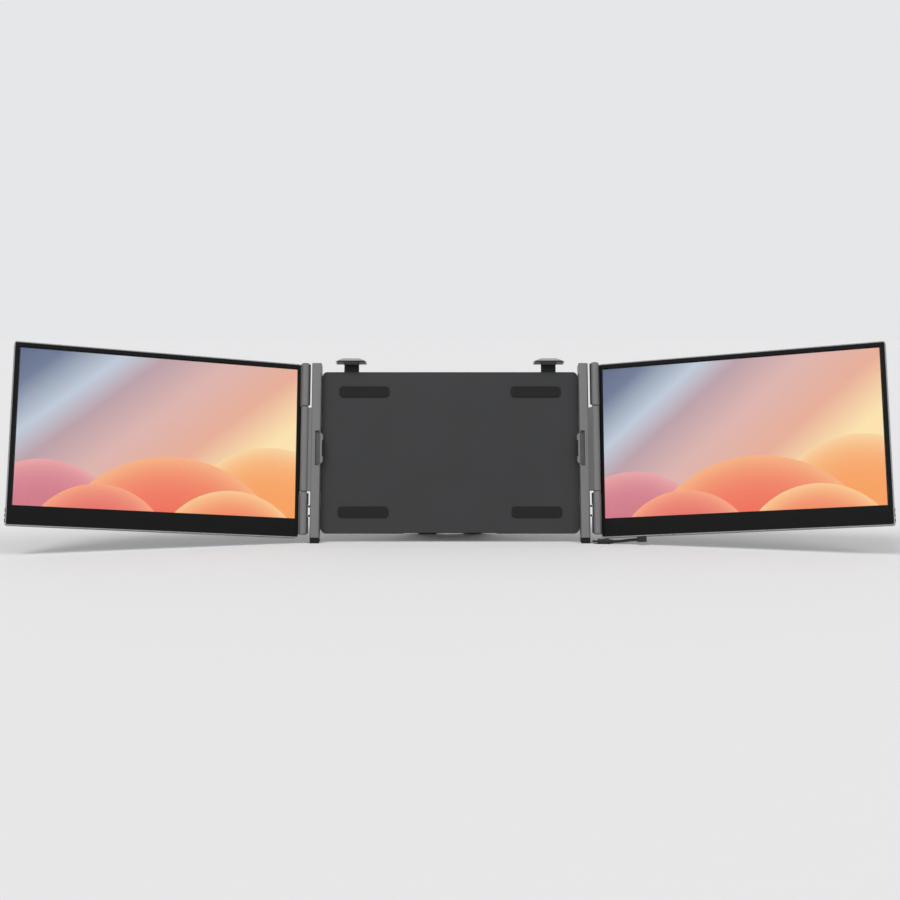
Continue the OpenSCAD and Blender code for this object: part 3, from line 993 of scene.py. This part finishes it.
class Trees:
    """The Geometry Nodes trees that the pieces share."""

    def __init__(self) -> None:
        """Builds each tree once."""
        self.rows = self._rows()
        self.coil = self._coil()

    def _rows(self) -> Tree:
        """Copies of a small part in columns along X and rows along Z, round the origin.

        Returns:
            The tree.
        """
        kinds = {"Columns": "Int", "Rows": "Int", "Column Pitch": "Float", "Row Pitch": "Float"}
        tree = Tree("parts_in_rows", kinds)
        given = tree.given
        lines = []
        for count, pitch, make in (
            ("Columns", "Column Pitch", lambda v: tree.vector(x=v)),
            ("Rows", "Row Pitch", lambda v: tree.vector(z=v)),
        ):
            last = tree.math("SUBTRACT", given[count], 1.0)
            start = tree.math("MULTIPLY", tree.math("MULTIPLY", last, given[pitch]), -0.5)
            line = tree.add(
                "GeometryNodeMeshLine",
                Count=given[count],
                Start_Location=make(start),
                Offset=make(given[pitch]),
            )
            lines.append(line.outputs[0])
        grid = tree.add("GeometryNodeInstanceOnPoints", Points=lines[1], Instance=lines[0])
        flat = tree.add("GeometryNodeRealizeInstances", Geometry=grid.outputs[0])
        placed = tree.add(
            "GeometryNodeInstanceOnPoints", Points=flat.outputs[0], Instance=given["Geometry"]
        )
        tree.close(placed.outputs[0])
        return tree

    def _coil(self) -> Tree:
        """A wound wire along Z, from its turns, radius, length and wire thickness.

        Returns:
            The tree.
        """
        tree = Tree("wound_wire", dict.fromkeys(("Turns", "Radius", "Length", "Wire"), "Float"))
        given = tree.given
        spiral = tree.add(
            "GeometryNodeCurveSpiral",
            Resolution=20,
            Rotations=given["Turns"],
            Start_Radius=given["Radius"],
            End_Radius=given["Radius"],
            Height=given["Length"],
        )
        ring = tree.add("GeometryNodeCurvePrimitiveCircle", Resolution=8, Radius=given["Wire"])
        wire = tree.add(
            "GeometryNodeCurveToMesh", Curve=spiral.outputs[0], Profile_Curve=ring.outputs[0]
        )
        wire.inputs["Fill Caps"].default_value = True
        tree.close(wire.outputs[0])
        return tree


# ------------------------------------------------------------------- pieces


class Workshop:
    """What every sub-assembly shares: finishes, trees, and how a piece is handed over."""

    def __init__(self) -> None:
        """Makes the finishes and the trees."""
        self.finish = Finishes()
        self.trees = Trees()

    def dress_nodes(self) -> None:
        """Gives every solid of the frame the finish of its slot in the record."""
        for part in frame["record"]["subparts"]:
            node = frame["nodes"][part["node"]]
            node.data.materials.clear()
            node.data.materials.append(self.finish[part["material_slot"]])
            log.info("dressed %s in %s", part["node"], part["material_slot"])

    def hand_over(
        self, obj: Thing, body: str, slot: str, replaced: Sequence[str] = (), finish: Sequence[str] = ()
    ) -> Thing:
        """Puts the finish on a piece and joins it to its body.

        Args:
            obj: the piece, finished and at the origin.
            body: the body that it moves with.
            slot: the record's material slot.
            replaced: solids that it stands for.
            finish: material names, the slot's own if there are none.

        Returns:
            The piece.
        """
        names = finish or (slot,)
        picked = [face.material_index for face in obj.data.polygons]
        obj.data.materials.clear()
        for name in names:
            obj.data.materials.append(self.finish[name])
        obj.data.polygons.foreach_set("material_index", picked)
        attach(obj, body)
        if replaced:
            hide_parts(*replaced)
        log.info("piece %s on %s, %d faces", obj.name, body, len(obj.data.polygons))
        return obj

    def refined(self, node: str, name: str, width: float, segments: int = 2, rim: int = 0) -> Thing:
        """A copy of a solid with its triangles merged and its edges broken.

        Args:
            node: the solid.
            name: the piece's name.
            width: width of the broken edges in millimetres.
            segments: steps of each broken edge.
            rim: material index of the broken edges.

        Returns:
            The new object.
        """
        bm = bmesh.new()
        bm.from_mesh(frame["nodes"][node].data)
        bmesh.ops.remove_doubles(bm, verts=bm.verts, dist=SAME_PLACE)
        bmesh.ops.dissolve_limit(
            bm,
            angle_limit=math.radians(SAME_PLANE),
            use_dissolve_boundaries=False,
            verts=bm.verts,
            edges=bm.edges,
        )
        chamfer(bm, width * MM, segments, rim)
        return soften(mesh_from(bm, name))

    def stand_in(self, node: str, name: str, body: str, slot: str, width: float) -> Thing:
        """Hands over a solid's refined copy in its stead."""
        return self.hand_over(self.refined(node, name, width), body, slot, [node])

    def repeated(
        self, shape: Shape, name: str, slot: str, count: tuple[int, int], pitch: Pair, place: Matrix
    ) -> Thing:
        """Copies of a small shape in columns and rows.

        Args:
            shape: the small shape in millimetres, freed here.
            name: the new object's name.
            slot: the record's material slot.
            count: how many columns and rows.
            pitch: distance from column to column and from row to row.
            place: transform of the whole to the row frame.

        Returns:
            The new object.
        """
        made = self.trees.rows.run(
            shape,
            name,
            Columns=count[0],
            Rows=count[1],
            Column_Pitch=pitch[0],
            Row_Pitch=pitch[1],
            Finish=self.finish[slot],
        )
        return settle(made, place)


@dataclass
class Half:
    """A sub-assembly that stands once on each side."""

    shop: Workshop
    side: Side

    def name(self, what: str) -> str:
        """A piece, node or body name of this side."""
        return f"{self.side.label}_{what}"

    def stand_in(self, node: str, piece: str, body: str, slot: str, width: float) -> None:
        """Hands over a refined copy of one of this side's solids in its stead."""
        self.shop.stand_in(self.name(node), self.name(piece), self.name(body), slot, width)


@dataclass
class SideScreen(Half):
    """One side screen with its shell, bezel, glass, lit picture, sockets and buttons.

    Its own millimetres run outwards from the hinge axis in x, back in y and up in z. Depths named
    y are measured from the front face.
    """

    shell_edge: float = 0.28
    bare_rim_y: float = 0.2
    # depth and width of the rim at the hinge that is painted black: painted shade of the gap beside the
    # knuckle
    black_rim_y: float = 0.6
    black_rim_w: float = 1.3
    vent_size: Pair = (2.0, 9.0)
    vent_count: tuple[int, int] = (24, 2)
    vent_pitch: Pair = (4.6, 15.0)
    vent_z: float = 178.0
    vent_level: float = 0.001
    vent_deep: float = 3.0
    vent_start: float = 2.3
    glass_y: Pair = (1.55, 2.08)
    glass_margin: float = 1.9
    lit_y: Pair = (2.11, 2.17)
    dark_side: float = 1.6
    dark_top: float = 1.2
    dark_gap: float = 0.01
    dark_inset: float = 0.1
    # dark strip in the slit beside the middle knuckle, painted shade: its place and size
    slit_shade_x: Pair = (-2.5, 0.4)
    slit_shade_y: Pair = (4.2, 5.7)
    slit_shade_z: Pair = (57.0, 169.6)
    slit_shade_edge: float = 0.3
    small_edge: float = 0.12
    # black strips on the knuckles' sides, painted shade of their shaded sides: place, depth, heights
    # and edge
    strip_x: Pair = (6.65, 4.4)
    strip_y: Pair = (-1.3, 0.7)
    strip_z: tuple[Pair, ...] = ((5.4, 26.0), (42.0, 56.4), (170.2, 223.4))
    strip_edge: float = 0.35
    relief_x: float = 6.0
    relief_y: float = 0.1
    relief_z: Pair = (25.8, 42.2)
    screw: Pair = (2.0, 0.45)
    screw_inset: float = 9.0
    screw_sunk: float = 0.1
    socket_y: float = 4.0
    tongue_sizes: tuple[Point, ...] = ((54, 3.2, 5.2), (74, 3.2, 5.2), (96, 4.4, 5.6))
    tongue_half: float = 0.35
    tongue_low: float = 0.9
    lead_socket_x: float = 54

    def __post_init__(self) -> None:
        """Works out the screen's sizes and its body's name."""
        self.size = ScreenSize(self.side)
        self.body = self.name("screen")

    def build(self) -> None:
        """Makes every piece of the screen."""
        self.shell()
        self.bezel()
        self.glass()
        self.picture()
        self.knuckles()
        self.slit_shade_strip()
        self.knuckle_shade_strips()
        self.rear_screws()
        self.tongues()
        self.buttons()

    def vents(self) -> Thing:
        """The shape of the air slots, two rows right through the shell's back.

        Returns:
            The slots as one object.
        """
        s = self.size
        width, height = self.vent_size
        slot = bmesh.new()
        bmesh.ops.create_circle(slot, cap_ends=True, segments=12, radius=width / 2)
        for vert in slot.verts:
            if abs(vert.co.y) > self.vent_level:
                vert.co.y += math.copysign(height / 2, vert.co.y)
        swept = bmesh.ops.extrude_face_region(slot, geom=slot.faces)
        top = [v for v in swept["geom"] if isinstance(v, Corner)]
        bmesh.ops.translate(slot, verts=top, vec=(0, 0, self.vent_deep))
        bmesh.ops.recalc_face_normals(slot, faces=slot.faces)
        slot.transform(facing_back())
        middle = (s.gap + s.width / 2, s.face + s.thick - self.vent_start, self.vent_z)
        return self.shop.repeated(
            slot,
            "vent_slots",
            "screen_shell_aluminium",
            self.vent_count,
            self.vent_pitch,
            s.matrix() @ Matrix.Translation(middle),
        )

    def shell(self) -> None:
        """Rear shell with air slots and a bare metal rim, painted black at the hinge as painted shade
        of the gap beside the knuckle.
        """
        made = self.shop.refined(
            self.name("rear_shell"), self.name("screen_shell"), self.shell_edge, 1, 1
        )
        carved(made, self.vents())
        s = self.size
        shade_rim_x = s.gap + self.black_rim_w
        bm = bmesh.new()
        bm.from_mesh(made.data)
        bm.transform(s.matrix().inverted())
        bmesh.ops.bisect_plane(
            bm, geom=[*bm.verts, *bm.edges, *bm.faces], plane_co=(shade_rim_x, 0, 0), plane_no=(1, 0, 0)
        )
        for face in bm.faces:
            middle = face.calc_center_median()
            # the front rim at the hinge gets black plastic, painted shade of the gap beside the knuckle
            if middle.y < s.face + self.black_rim_y and middle.x < shade_rim_x:
                face.material_index = 2
            elif middle.y < s.face + self.bare_rim_y:
                face.material_index = 1
        bm.transform(s.matrix())
        bm.to_mesh(made.data)
        bm.free()
        soften(made)
        self.shop.hand_over(
            made,
            self.body,
            "screen_shell_aluminium",
            [self.name("rear_shell")],
            ["screen_shell_aluminium", "cut_edge", "bezel_plastic"],
        )

    def bezel(self) -> None:
        """Front bezel with broken edges."""
        self.stand_in("bezel", "screen_bezel", "screen", "bezel_plastic", 0.2)

    def glass(self) -> None:
        """Cover glass with ground edges, a hair in front of the lit layer."""
        s, margin = self.size, self.glass_margin
        near, far = (s.face + y for y in self.glass_y)
        x0, z0 = s.gap + s.inner - margin, s.chin - margin
        lo = (x0, near, z0)
        hi = (x0 + s.lit_w + 2 * margin, far, z0 + s.lit_h + 2 * margin)
        bm = block(lo, hi, self.small_edge)
        made = soften(mesh_from(bm, self.name("cover_glass"), s.matrix()))
        self.shop.hand_over(made, self.body, "screen_glass", [self.name("glass")])

    def picture(self) -> None:
        """Lit layer behind the glass, with the picture's own coordinates and a dark border."""
        s = self.size
        x0, z0 = s.gap + s.inner, s.chin
        near, far = (s.face + y for y in self.lit_y)
        lo = (x0, near, z0)
        hi = (x0 + s.lit_w - self.dark_side, far, z0 + s.lit_h - self.dark_top)
        self.dark_border(lo, hi)
        bm = block(lo, hi, self.dark_gap, 1)
        layer = bm.loops.layers.uv.new("picture")
        for face in bm.faces:
            for loop in face.loops:
                across = (loop.vert.co.x - x0) / (hi[0] - x0)
                up = (loop.vert.co.z - z0) / (hi[2] - z0)
                loop[layer].uv = (across if self.side is Side.RIGHT else 1 - across, up)
        made = mesh_from(bm, self.name("lit_layer"), s.matrix())
        self.shop.hand_over(made, self.body, "lcd_module", (), ["lit_picture"])

    def dark_border(self, lo: Point, hi: Point) -> None:
        """Black frame round the lit layer, under the glass.

        Args:
            lo: lowest corner of the lit layer.
            hi: highest corner of the lit layer.
        """
        hair = self.dark_gap
        low_edge = self.glass_margin - self.dark_inset
        high_edge = low_edge + self.dark_side
        rings = []
        bm = bmesh.new()
        for y, low, high in (
            (lo[1], hair, hair),
            (lo[1], low_edge, high_edge),
            (hi[1], low_edge, high_edge),
            (hi[1], hair, hair),
        ):
            x0, z0, x1, z1 = lo[0] - low, lo[2] - low, hi[0] + high, hi[2] + high
            corners = ((x0, z0), (x1, z0), (x1, z1), (x0, z1))
            rings.append([bm.verts.new((x, y, z)) for x, z in corners])
        bridge(bm, [*rings, rings[0]])
        bmesh.ops.recalc_face_normals(bm, faces=bm.faces)
        made = mesh_from(bm, self.name("dark_border"), self.size.matrix())
        self.shop.hand_over(made, self.body, "lcd_module", (), ["bezel_plastic"])

    def knuckles(self) -> None:
        """Hinge knuckles with broken edges."""
        self.stand_in("knuckles", "hinge_knuckles", "screen", "column_aluminium", 0.3)

    def slit_shade_strip(self) -> None:
        """Dark strip on the shell's edge that closes the slit beside the middle knuckle: painted shade
        in the slit.
        """
        s = self.size
        start, end = (s.gap + x for x in self.slit_shade_x)
        near, far = (s.face + y for y in self.slit_shade_y)
        low, high = self.slit_shade_z
        bm = block((start, near, low), (end, far, high), self.slit_shade_edge)
        made = soften(mesh_from(bm, self.name("slit_shade_strip"), s.matrix()))
        # the hook's black plastic stands in as painted shade of the slit
        self.shop.hand_over(made, self.body, "hook_plastic")

    def knuckle_shade_strips(self) -> None:
        """Black strips on the knuckles' sides towards the column, lower beside its buffers: painted
        shade of the knuckles' shaded sides.
        """
        s = self.size
        near, far = (s.axis_y + y for y in self.strip_y)
        outer, inner = (s.hinge_x - x for x in self.strip_x)
        corners = [((outer, near, low), (inner, far, high)) for low, high in self.strip_z]
        low, high = self.relief_z
        outer = s.hinge_x - self.relief_x
        near, far = near + self.relief_y, far - self.relief_y
        corners.append(((outer, near, low), (inner, far, high)))
        strips = [block(lo, hi, self.strip_edge) for lo, hi in corners]
        made = settle(joined(strips, self.name("knuckle_shade_strips")), STANCE.matrix(self.side))
        # the hook's black plastic stands in as painted shade on the knuckles
        self.shop.hand_over(soften(made), self.body, "hook_plastic")

    def rear_screws(self) -> None:
        """Four small screws in the corners of the rear shell."""
        s = self.size
        middle = (s.gap + s.width / 2, s.face + s.thick - self.screw_sunk, s.height / 2)
        made = self.shop.repeated(
            screw_head(*self.screw),
            self.name("rear_screws"),
            "screw_steel",
            (2, 2),
            (s.width - 2 * self.screw_inset, s.height - 2 * self.screw_inset),
            s.matrix() @ Matrix.Translation(middle),
        )
        self.shop.hand_over(soften(made), self.body, "screw_steel")

    def tongues(self) -> None:
        """Dark tongues inside the sockets, apart from the one that the lead's plug fills."""
        s = self.size
        y, half, low = s.face + self.socket_y, self.tongue_half, self.tongue_low
        parts = [
            block((x - wide, y - half, low), (x + wide, y + half, low + depth), self.small_edge)
            for x, wide, depth in self.tongue_sizes
            if self.side is Side.LEFT or x != self.lead_socket_x
        ]
        made = settle(joined(parts, self.name("socket_tongues")), s.matrix())
        self.shop.hand_over(soften(made), self.body, "plug_plastic")

    def buttons(self) -> None:
        """Three rounded buttons on the outer edge."""
        for key in Key:
            node, piece, body = (f"{key.value}_{end}" for end in ("button", "cap", "key"))
            self.stand_in(node, piece, body, "button_plastic", 0.18)


@dataclass
class Column(Half):
    """One column with its jaw and springs."""

    spring_x: Pair = (167.65, 175.0)
    spring_y: float = 6.5
    spring_z: Pair = (102.0, 127.0)
    spring_radius: float = 1.72
    spring_turns: float = 6.0
    wire: float = 0.25
    jaw_edge: float = 0.3
    lip_reach: float = 164.5
    lip_back: float = 3.7
    screw: Pair = (2.0, 0.4)
    screw_middle: Point = (170.6, 23.9, 113.5)
    screw_pitch: float = 196.0

    def build(self) -> None:
        """Makes every piece of the column."""
        for node, piece, width, body, slot in (
            ("front_shell", "column_front", 0.3, "column", "column_aluminium"),
            ("back_shell", "column_back", 0.3, "column", "column_aluminium"),
            ("foot", "column_foot", 0.4, "column", "rubber_black"),
            ("bumpers", "soft_buffers", 0.25, "column", "rubber_black"),
            ("jaw_pad", "jaw_cushions", 0.15, "jaw", "rubber_black"),
        ):
            self.stand_in(node, piece, body, slot, width)
        self.jaw()
        self.springs()
        self.screws()

    def jaw(self) -> None:
        """The dark jaw, with its lip in the columns' grey."""
        made = self.shop.refined(self.name("jaw"), self.name("jaw_body"), self.jaw_edge)
        inwards = STANCE.matrix(self.side).inverted()
        for face in made.data.polygons:
            middle = inwards @ face.center
            if middle.x < self.lip_reach and middle.y < self.lip_back:
                face.material_index = 1
        self.shop.hand_over(
            made,
            self.name("jaw"),
            "jaw_plastic",
            [self.name("jaw")],
            ["jaw_plastic", "column_aluminium"],
        )

    def springs(self) -> None:
        """Two wound springs behind the jaw."""
        x0, x1 = self.spring_x
        along = Matrix.Rotation(math.radians(90), 4, "Y")
        parts = []
        for z in self.spring_z:
            coil = self.shop.trees.coil.run(
                bmesh.new(),
                "spring_part",
                Turns=self.spring_turns,
                Radius=self.spring_radius,
                Length=x1 - x0 - 2 * self.wire,
                Wire=self.wire,
                Finish=self.shop.finish["spring_steel"],
            )
            place = Matrix.Translation((x0 + self.wire, self.spring_y, z)) @ along
            parts.append(settle(coil, STANCE.matrix(self.side) @ place))
        made = soften(joined(parts, self.name("jaw_coils")), ROUND)
        self.shop.hand_over(made, self.name("column"), "spring_steel", [self.name("jaw_springs")])
        self.name("jaw_press")
        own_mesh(made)

    def screws(self) -> None:
        """Two screws that hold the column's back."""
        made = self.shop.repeated(
            screw_head(*self.screw),
            self.name("column_screws"),
            "screw_steel",
            (1, 2),
            (1.0, self.screw_pitch),
            STANCE.matrix(self.side) @ Matrix.Translation(self.screw_middle),
        )
        self.shop.hand_over(soften(made), self.name("column"), "screw_steel")


@dataclass
class CentreFrame:
    """The frame behind the lid, with its hooks and kickstand."""

    shop: Workshop
    pad_x: float = 110.0
    pad_z: Pair = (34.0, 190.0)
    pad_front: float = 10.05
    dot_outline: tuple[Pair, ...] = ((0, 0), (0.75, 0.0), (0.7, 0.14), (0.45, 0.26), (0, 0.32))
    dot_facets: int = 12
    dot_count: tuple[int, int] = (19, 4)
    dot_pitch: float = 3.0

    def build(self) -> None:
        """Makes every piece of the frame."""
        for node, piece, body, slot, width in (
            ("back_cover", "rear_cover", "frame", "cover_aluminium", 0.5),
            ("front_panel", "lid_panel", "frame", "panel_steel", 0.3),
            ("lid_pads", "soft_pads", "frame", "rubber_black", 0.3),
            ("kickstand_leg", "stand_leg", "kickstand", "cover_aluminium", 0.45),
            ("kickstand_foot", "stand_feet", "kickstand", "rubber_black", 0.3),
        ):
            self.shop.stand_in(node, piece, body, slot, width)
        for side in Side:
            for node, piece, slot, width in (
                ("hook", "hook_arm", "hook_plastic", 0.35),
                ("hook_cap", "hook_strip", "cap_metal", 0.22),
                ("hook_pad", "hook_cushion", "rubber_black", 0.12),
            ):
                node, piece, body = (f"{side.label}_{name}" for name in (node, piece, "hook"))
                self.shop.stand_in(node, piece, body, slot, width)
        self.pad_dots()

    def pad_dots(self) -> None:
        """Rows of small grip domes on the four rubber pads."""
        dome = turned(self.dot_outline, self.dot_facets)
        dome.transform(facing_back().inverted())
        parts = [
            self.shop.repeated(
                dome.copy(),
                "dots_part",
                "rubber_black",
                self.dot_count,
                (self.dot_pitch, self.dot_pitch),
                STANCE.matrix() @ Matrix.Translation((x, self.pad_front, z)),
            )
            for x in (-self.pad_x, self.pad_x)
            for z in self.pad_z
        ]
        dome.free()
        self.shop.hand_over(soften(joined(parts, "pad_dots"), ROUND), "frame", "rubber_black")


@dataclass
class ShortLead:
    """The short lead under the right screen, with its two plugs."""

    shop: Workshop
    diameter: float = 3.6
    facets: int = 16
    plug_edge: float = 0.35
    start: Point = (47.4, 10.6, -3.6)
    straight: float = 2.0
    route: tuple[Point, ...] = (
        (229.4, -0.1, 5.8),
        (227.4, 0.5, 5.6),
        (225.4, 1.0, 5.3),
        (223.4, 1.5, 5.0),
        (221.4, 2.0, 4.7),
        (219.3, 2.4, 4.4),
        (217.3, 2.8, 4.1),
        (215.3, 3.2, 3.8),
        (213.2, 3.6, 3.5),
        (211.1, 3.9, 3.3),
        (209.1, 4.2, 3.2),
        (207.1, 4.5, 3.1),
        (205.0, 4.8, 3.0),
    )
    far_yaw: float = -8.0

    def path(self) -> list[Vector]:
        """The lead's middle line.

        Returns:
            Its points in the row frame, in metres.
        """
        own = ScreenSize(Side.RIGHT).matrix()
        first = own @ Vector(self.start)
        out = (own @ Vector((1, 0, 0)) - own @ Vector((0, 0, 0))).normalized()
        second = first - out * self.straight * MM
        return [first, second] + [Vector(p) * MM for p in self.route]

    def build(self) -> None:
        line = self.path()
        far = math.radians(self.far_yaw)
        ends = (line[1] - line[0], Vector((-math.cos(far), -math.sin(far), 0)))
        radius = self.diameter / 2 * MM
        sheath = soften(tube("lead_sheath_tube", line, radius, self.facets, ends), ROUND)
        self.shop.hand_over(sheath, "right_screen", "lead_sheath", ["lead_cable"])
        near = self.shop.stand_in(
            "lead_plug", "lead_plug_body", "right_screen", "plug_plastic", self.plug_edge
        )
        free = self.shop.refined("lead_far_plug", "lead_free_plug_body", self.plug_edge)
        for vert in free.data.vertices:
            vert.co.z = max(vert.co.z, 0.0)
        self.shop.hand_over(free, "right_screen", "plug_plastic", ["lead_far_plug"])


# ------------------------------------------------------------------- studio


@dataclass
class Studio:
    """Camera, floor and soft even light."""

    lens: float = 60.6
    eye: Point = (0.0, -1.8785, 0.2628)
    tilt: float = -4.4
    sensor: float = 36.0
    floor_radius: float = 60.0
    floor_colour: Colour = (0.80, 0.80, 0.81)
    sky: Colour = (0.792, 0.798, 0.807)
    ambient: float = 0.62
    lamps: tuple[tuple[str, Point, float, float], ...] = (
        ("key", (-0.5, -0.65, 1.3), 1.0, 24.0), ("fill", (0.65, -0.5, 1.15), 0.45, 30.0)
    )

    def camera(self) -> None:
        """Sets the camera where the photograph was taken from."""
        data = bpy.data.cameras.new("camera")
        data.lens = self.lens
        data.sensor_width = self.sensor
        data.clip_start = 0.05
        data.clip_end = 200.0
        camera = bpy.data.objects.new("camera", data)
        camera.location = self.eye
        camera.rotation_euler = (math.radians(90 + self.tilt), 0, 0)
        bpy.context.scene.collection.objects.link(camera)
        bpy.context.scene.camera = camera

    def floor(self) -> None:
        """A wide pale floor, which isn't part of the object."""
        bm = bmesh.new()
        bmesh.ops.create_circle(bm, cap_ends=True, segments=96, radius=self.floor_radius)
        floor = mesh_from(bm, "floor")
        g = Graph("floor_paper")
        g.tone(g.noise(0.6, 2.0), self.floor_colour, (0.995, 1.0))
        g.set(roughness=0.9, specular_ior_level=0.1)
        floor.data.materials.append(g.material)

    def light(self) -> None:
        """Even sky light with a soft key and a weaker fill."""
        world = bpy.data.worlds.new("studio")
        bpy.context.scene.world = world
        world.use_nodes = True
        sky = Nodes(world.node_tree)
        white = (1, 1, 1, 1)
        lit = sky.add("ShaderNodeBackground", Color=white, Strength=self.ambient)
        seen = sky.add("ShaderNodeBackground", Color=(*self.sky, 1), Strength=1.0)
        rays = sky.add("ShaderNodeLightPath").outputs
        direct = rays["Is Camera Ray"]
        for kind in ("Is Glossy Ray", "Is Transmission Ray"):
            direct = sky.math("MAXIMUM", direct, rays[kind])
        mix = sky.add("ShaderNodeMixShader")
        for socket, value in zip(mix.inputs, (direct, lit.outputs[0], seen.outputs[0])):
            sky.feed(socket, value)
        sky.add("ShaderNodeOutputWorld", Surface=mix.outputs[0])
        for name, way, strength, spread in self.lamps:
            data = bpy.data.lights.new(name, "SUN")
            data.energy = strength
            data.angle = math.radians(spread)
            lamp = bpy.data.objects.new(name, data)
            lamp.rotation_mode = "QUATERNION"
            lamp.rotation_quaternion = Vector(way).to_track_quat("Z", "Y")
            bpy.context.scene.collection.objects.link(lamp)

    def build(self) -> None:
        """Sets up the whole studio."""
        bpy.context.scene.view_settings.view_transform = "Standard"
        self.floor()
        self.light()
        log.info("studio is up")


def main() -> None:
    """Builds the camera, the lead, the pieces and the studio, in that order."""
    logging.basicConfig(level=logging.INFO, format="%(message)s")
    studio = Studio()
    studio.camera()
    shop = Workshop()
    shop.dress_nodes()
    ShortLead(shop).build()
    CentreFrame(shop).build()
    for side in Side:
        Column(shop, side).build()
        SideScreen(shop, side).build()
    studio.build()


if __name__ == "__main__":
    main()
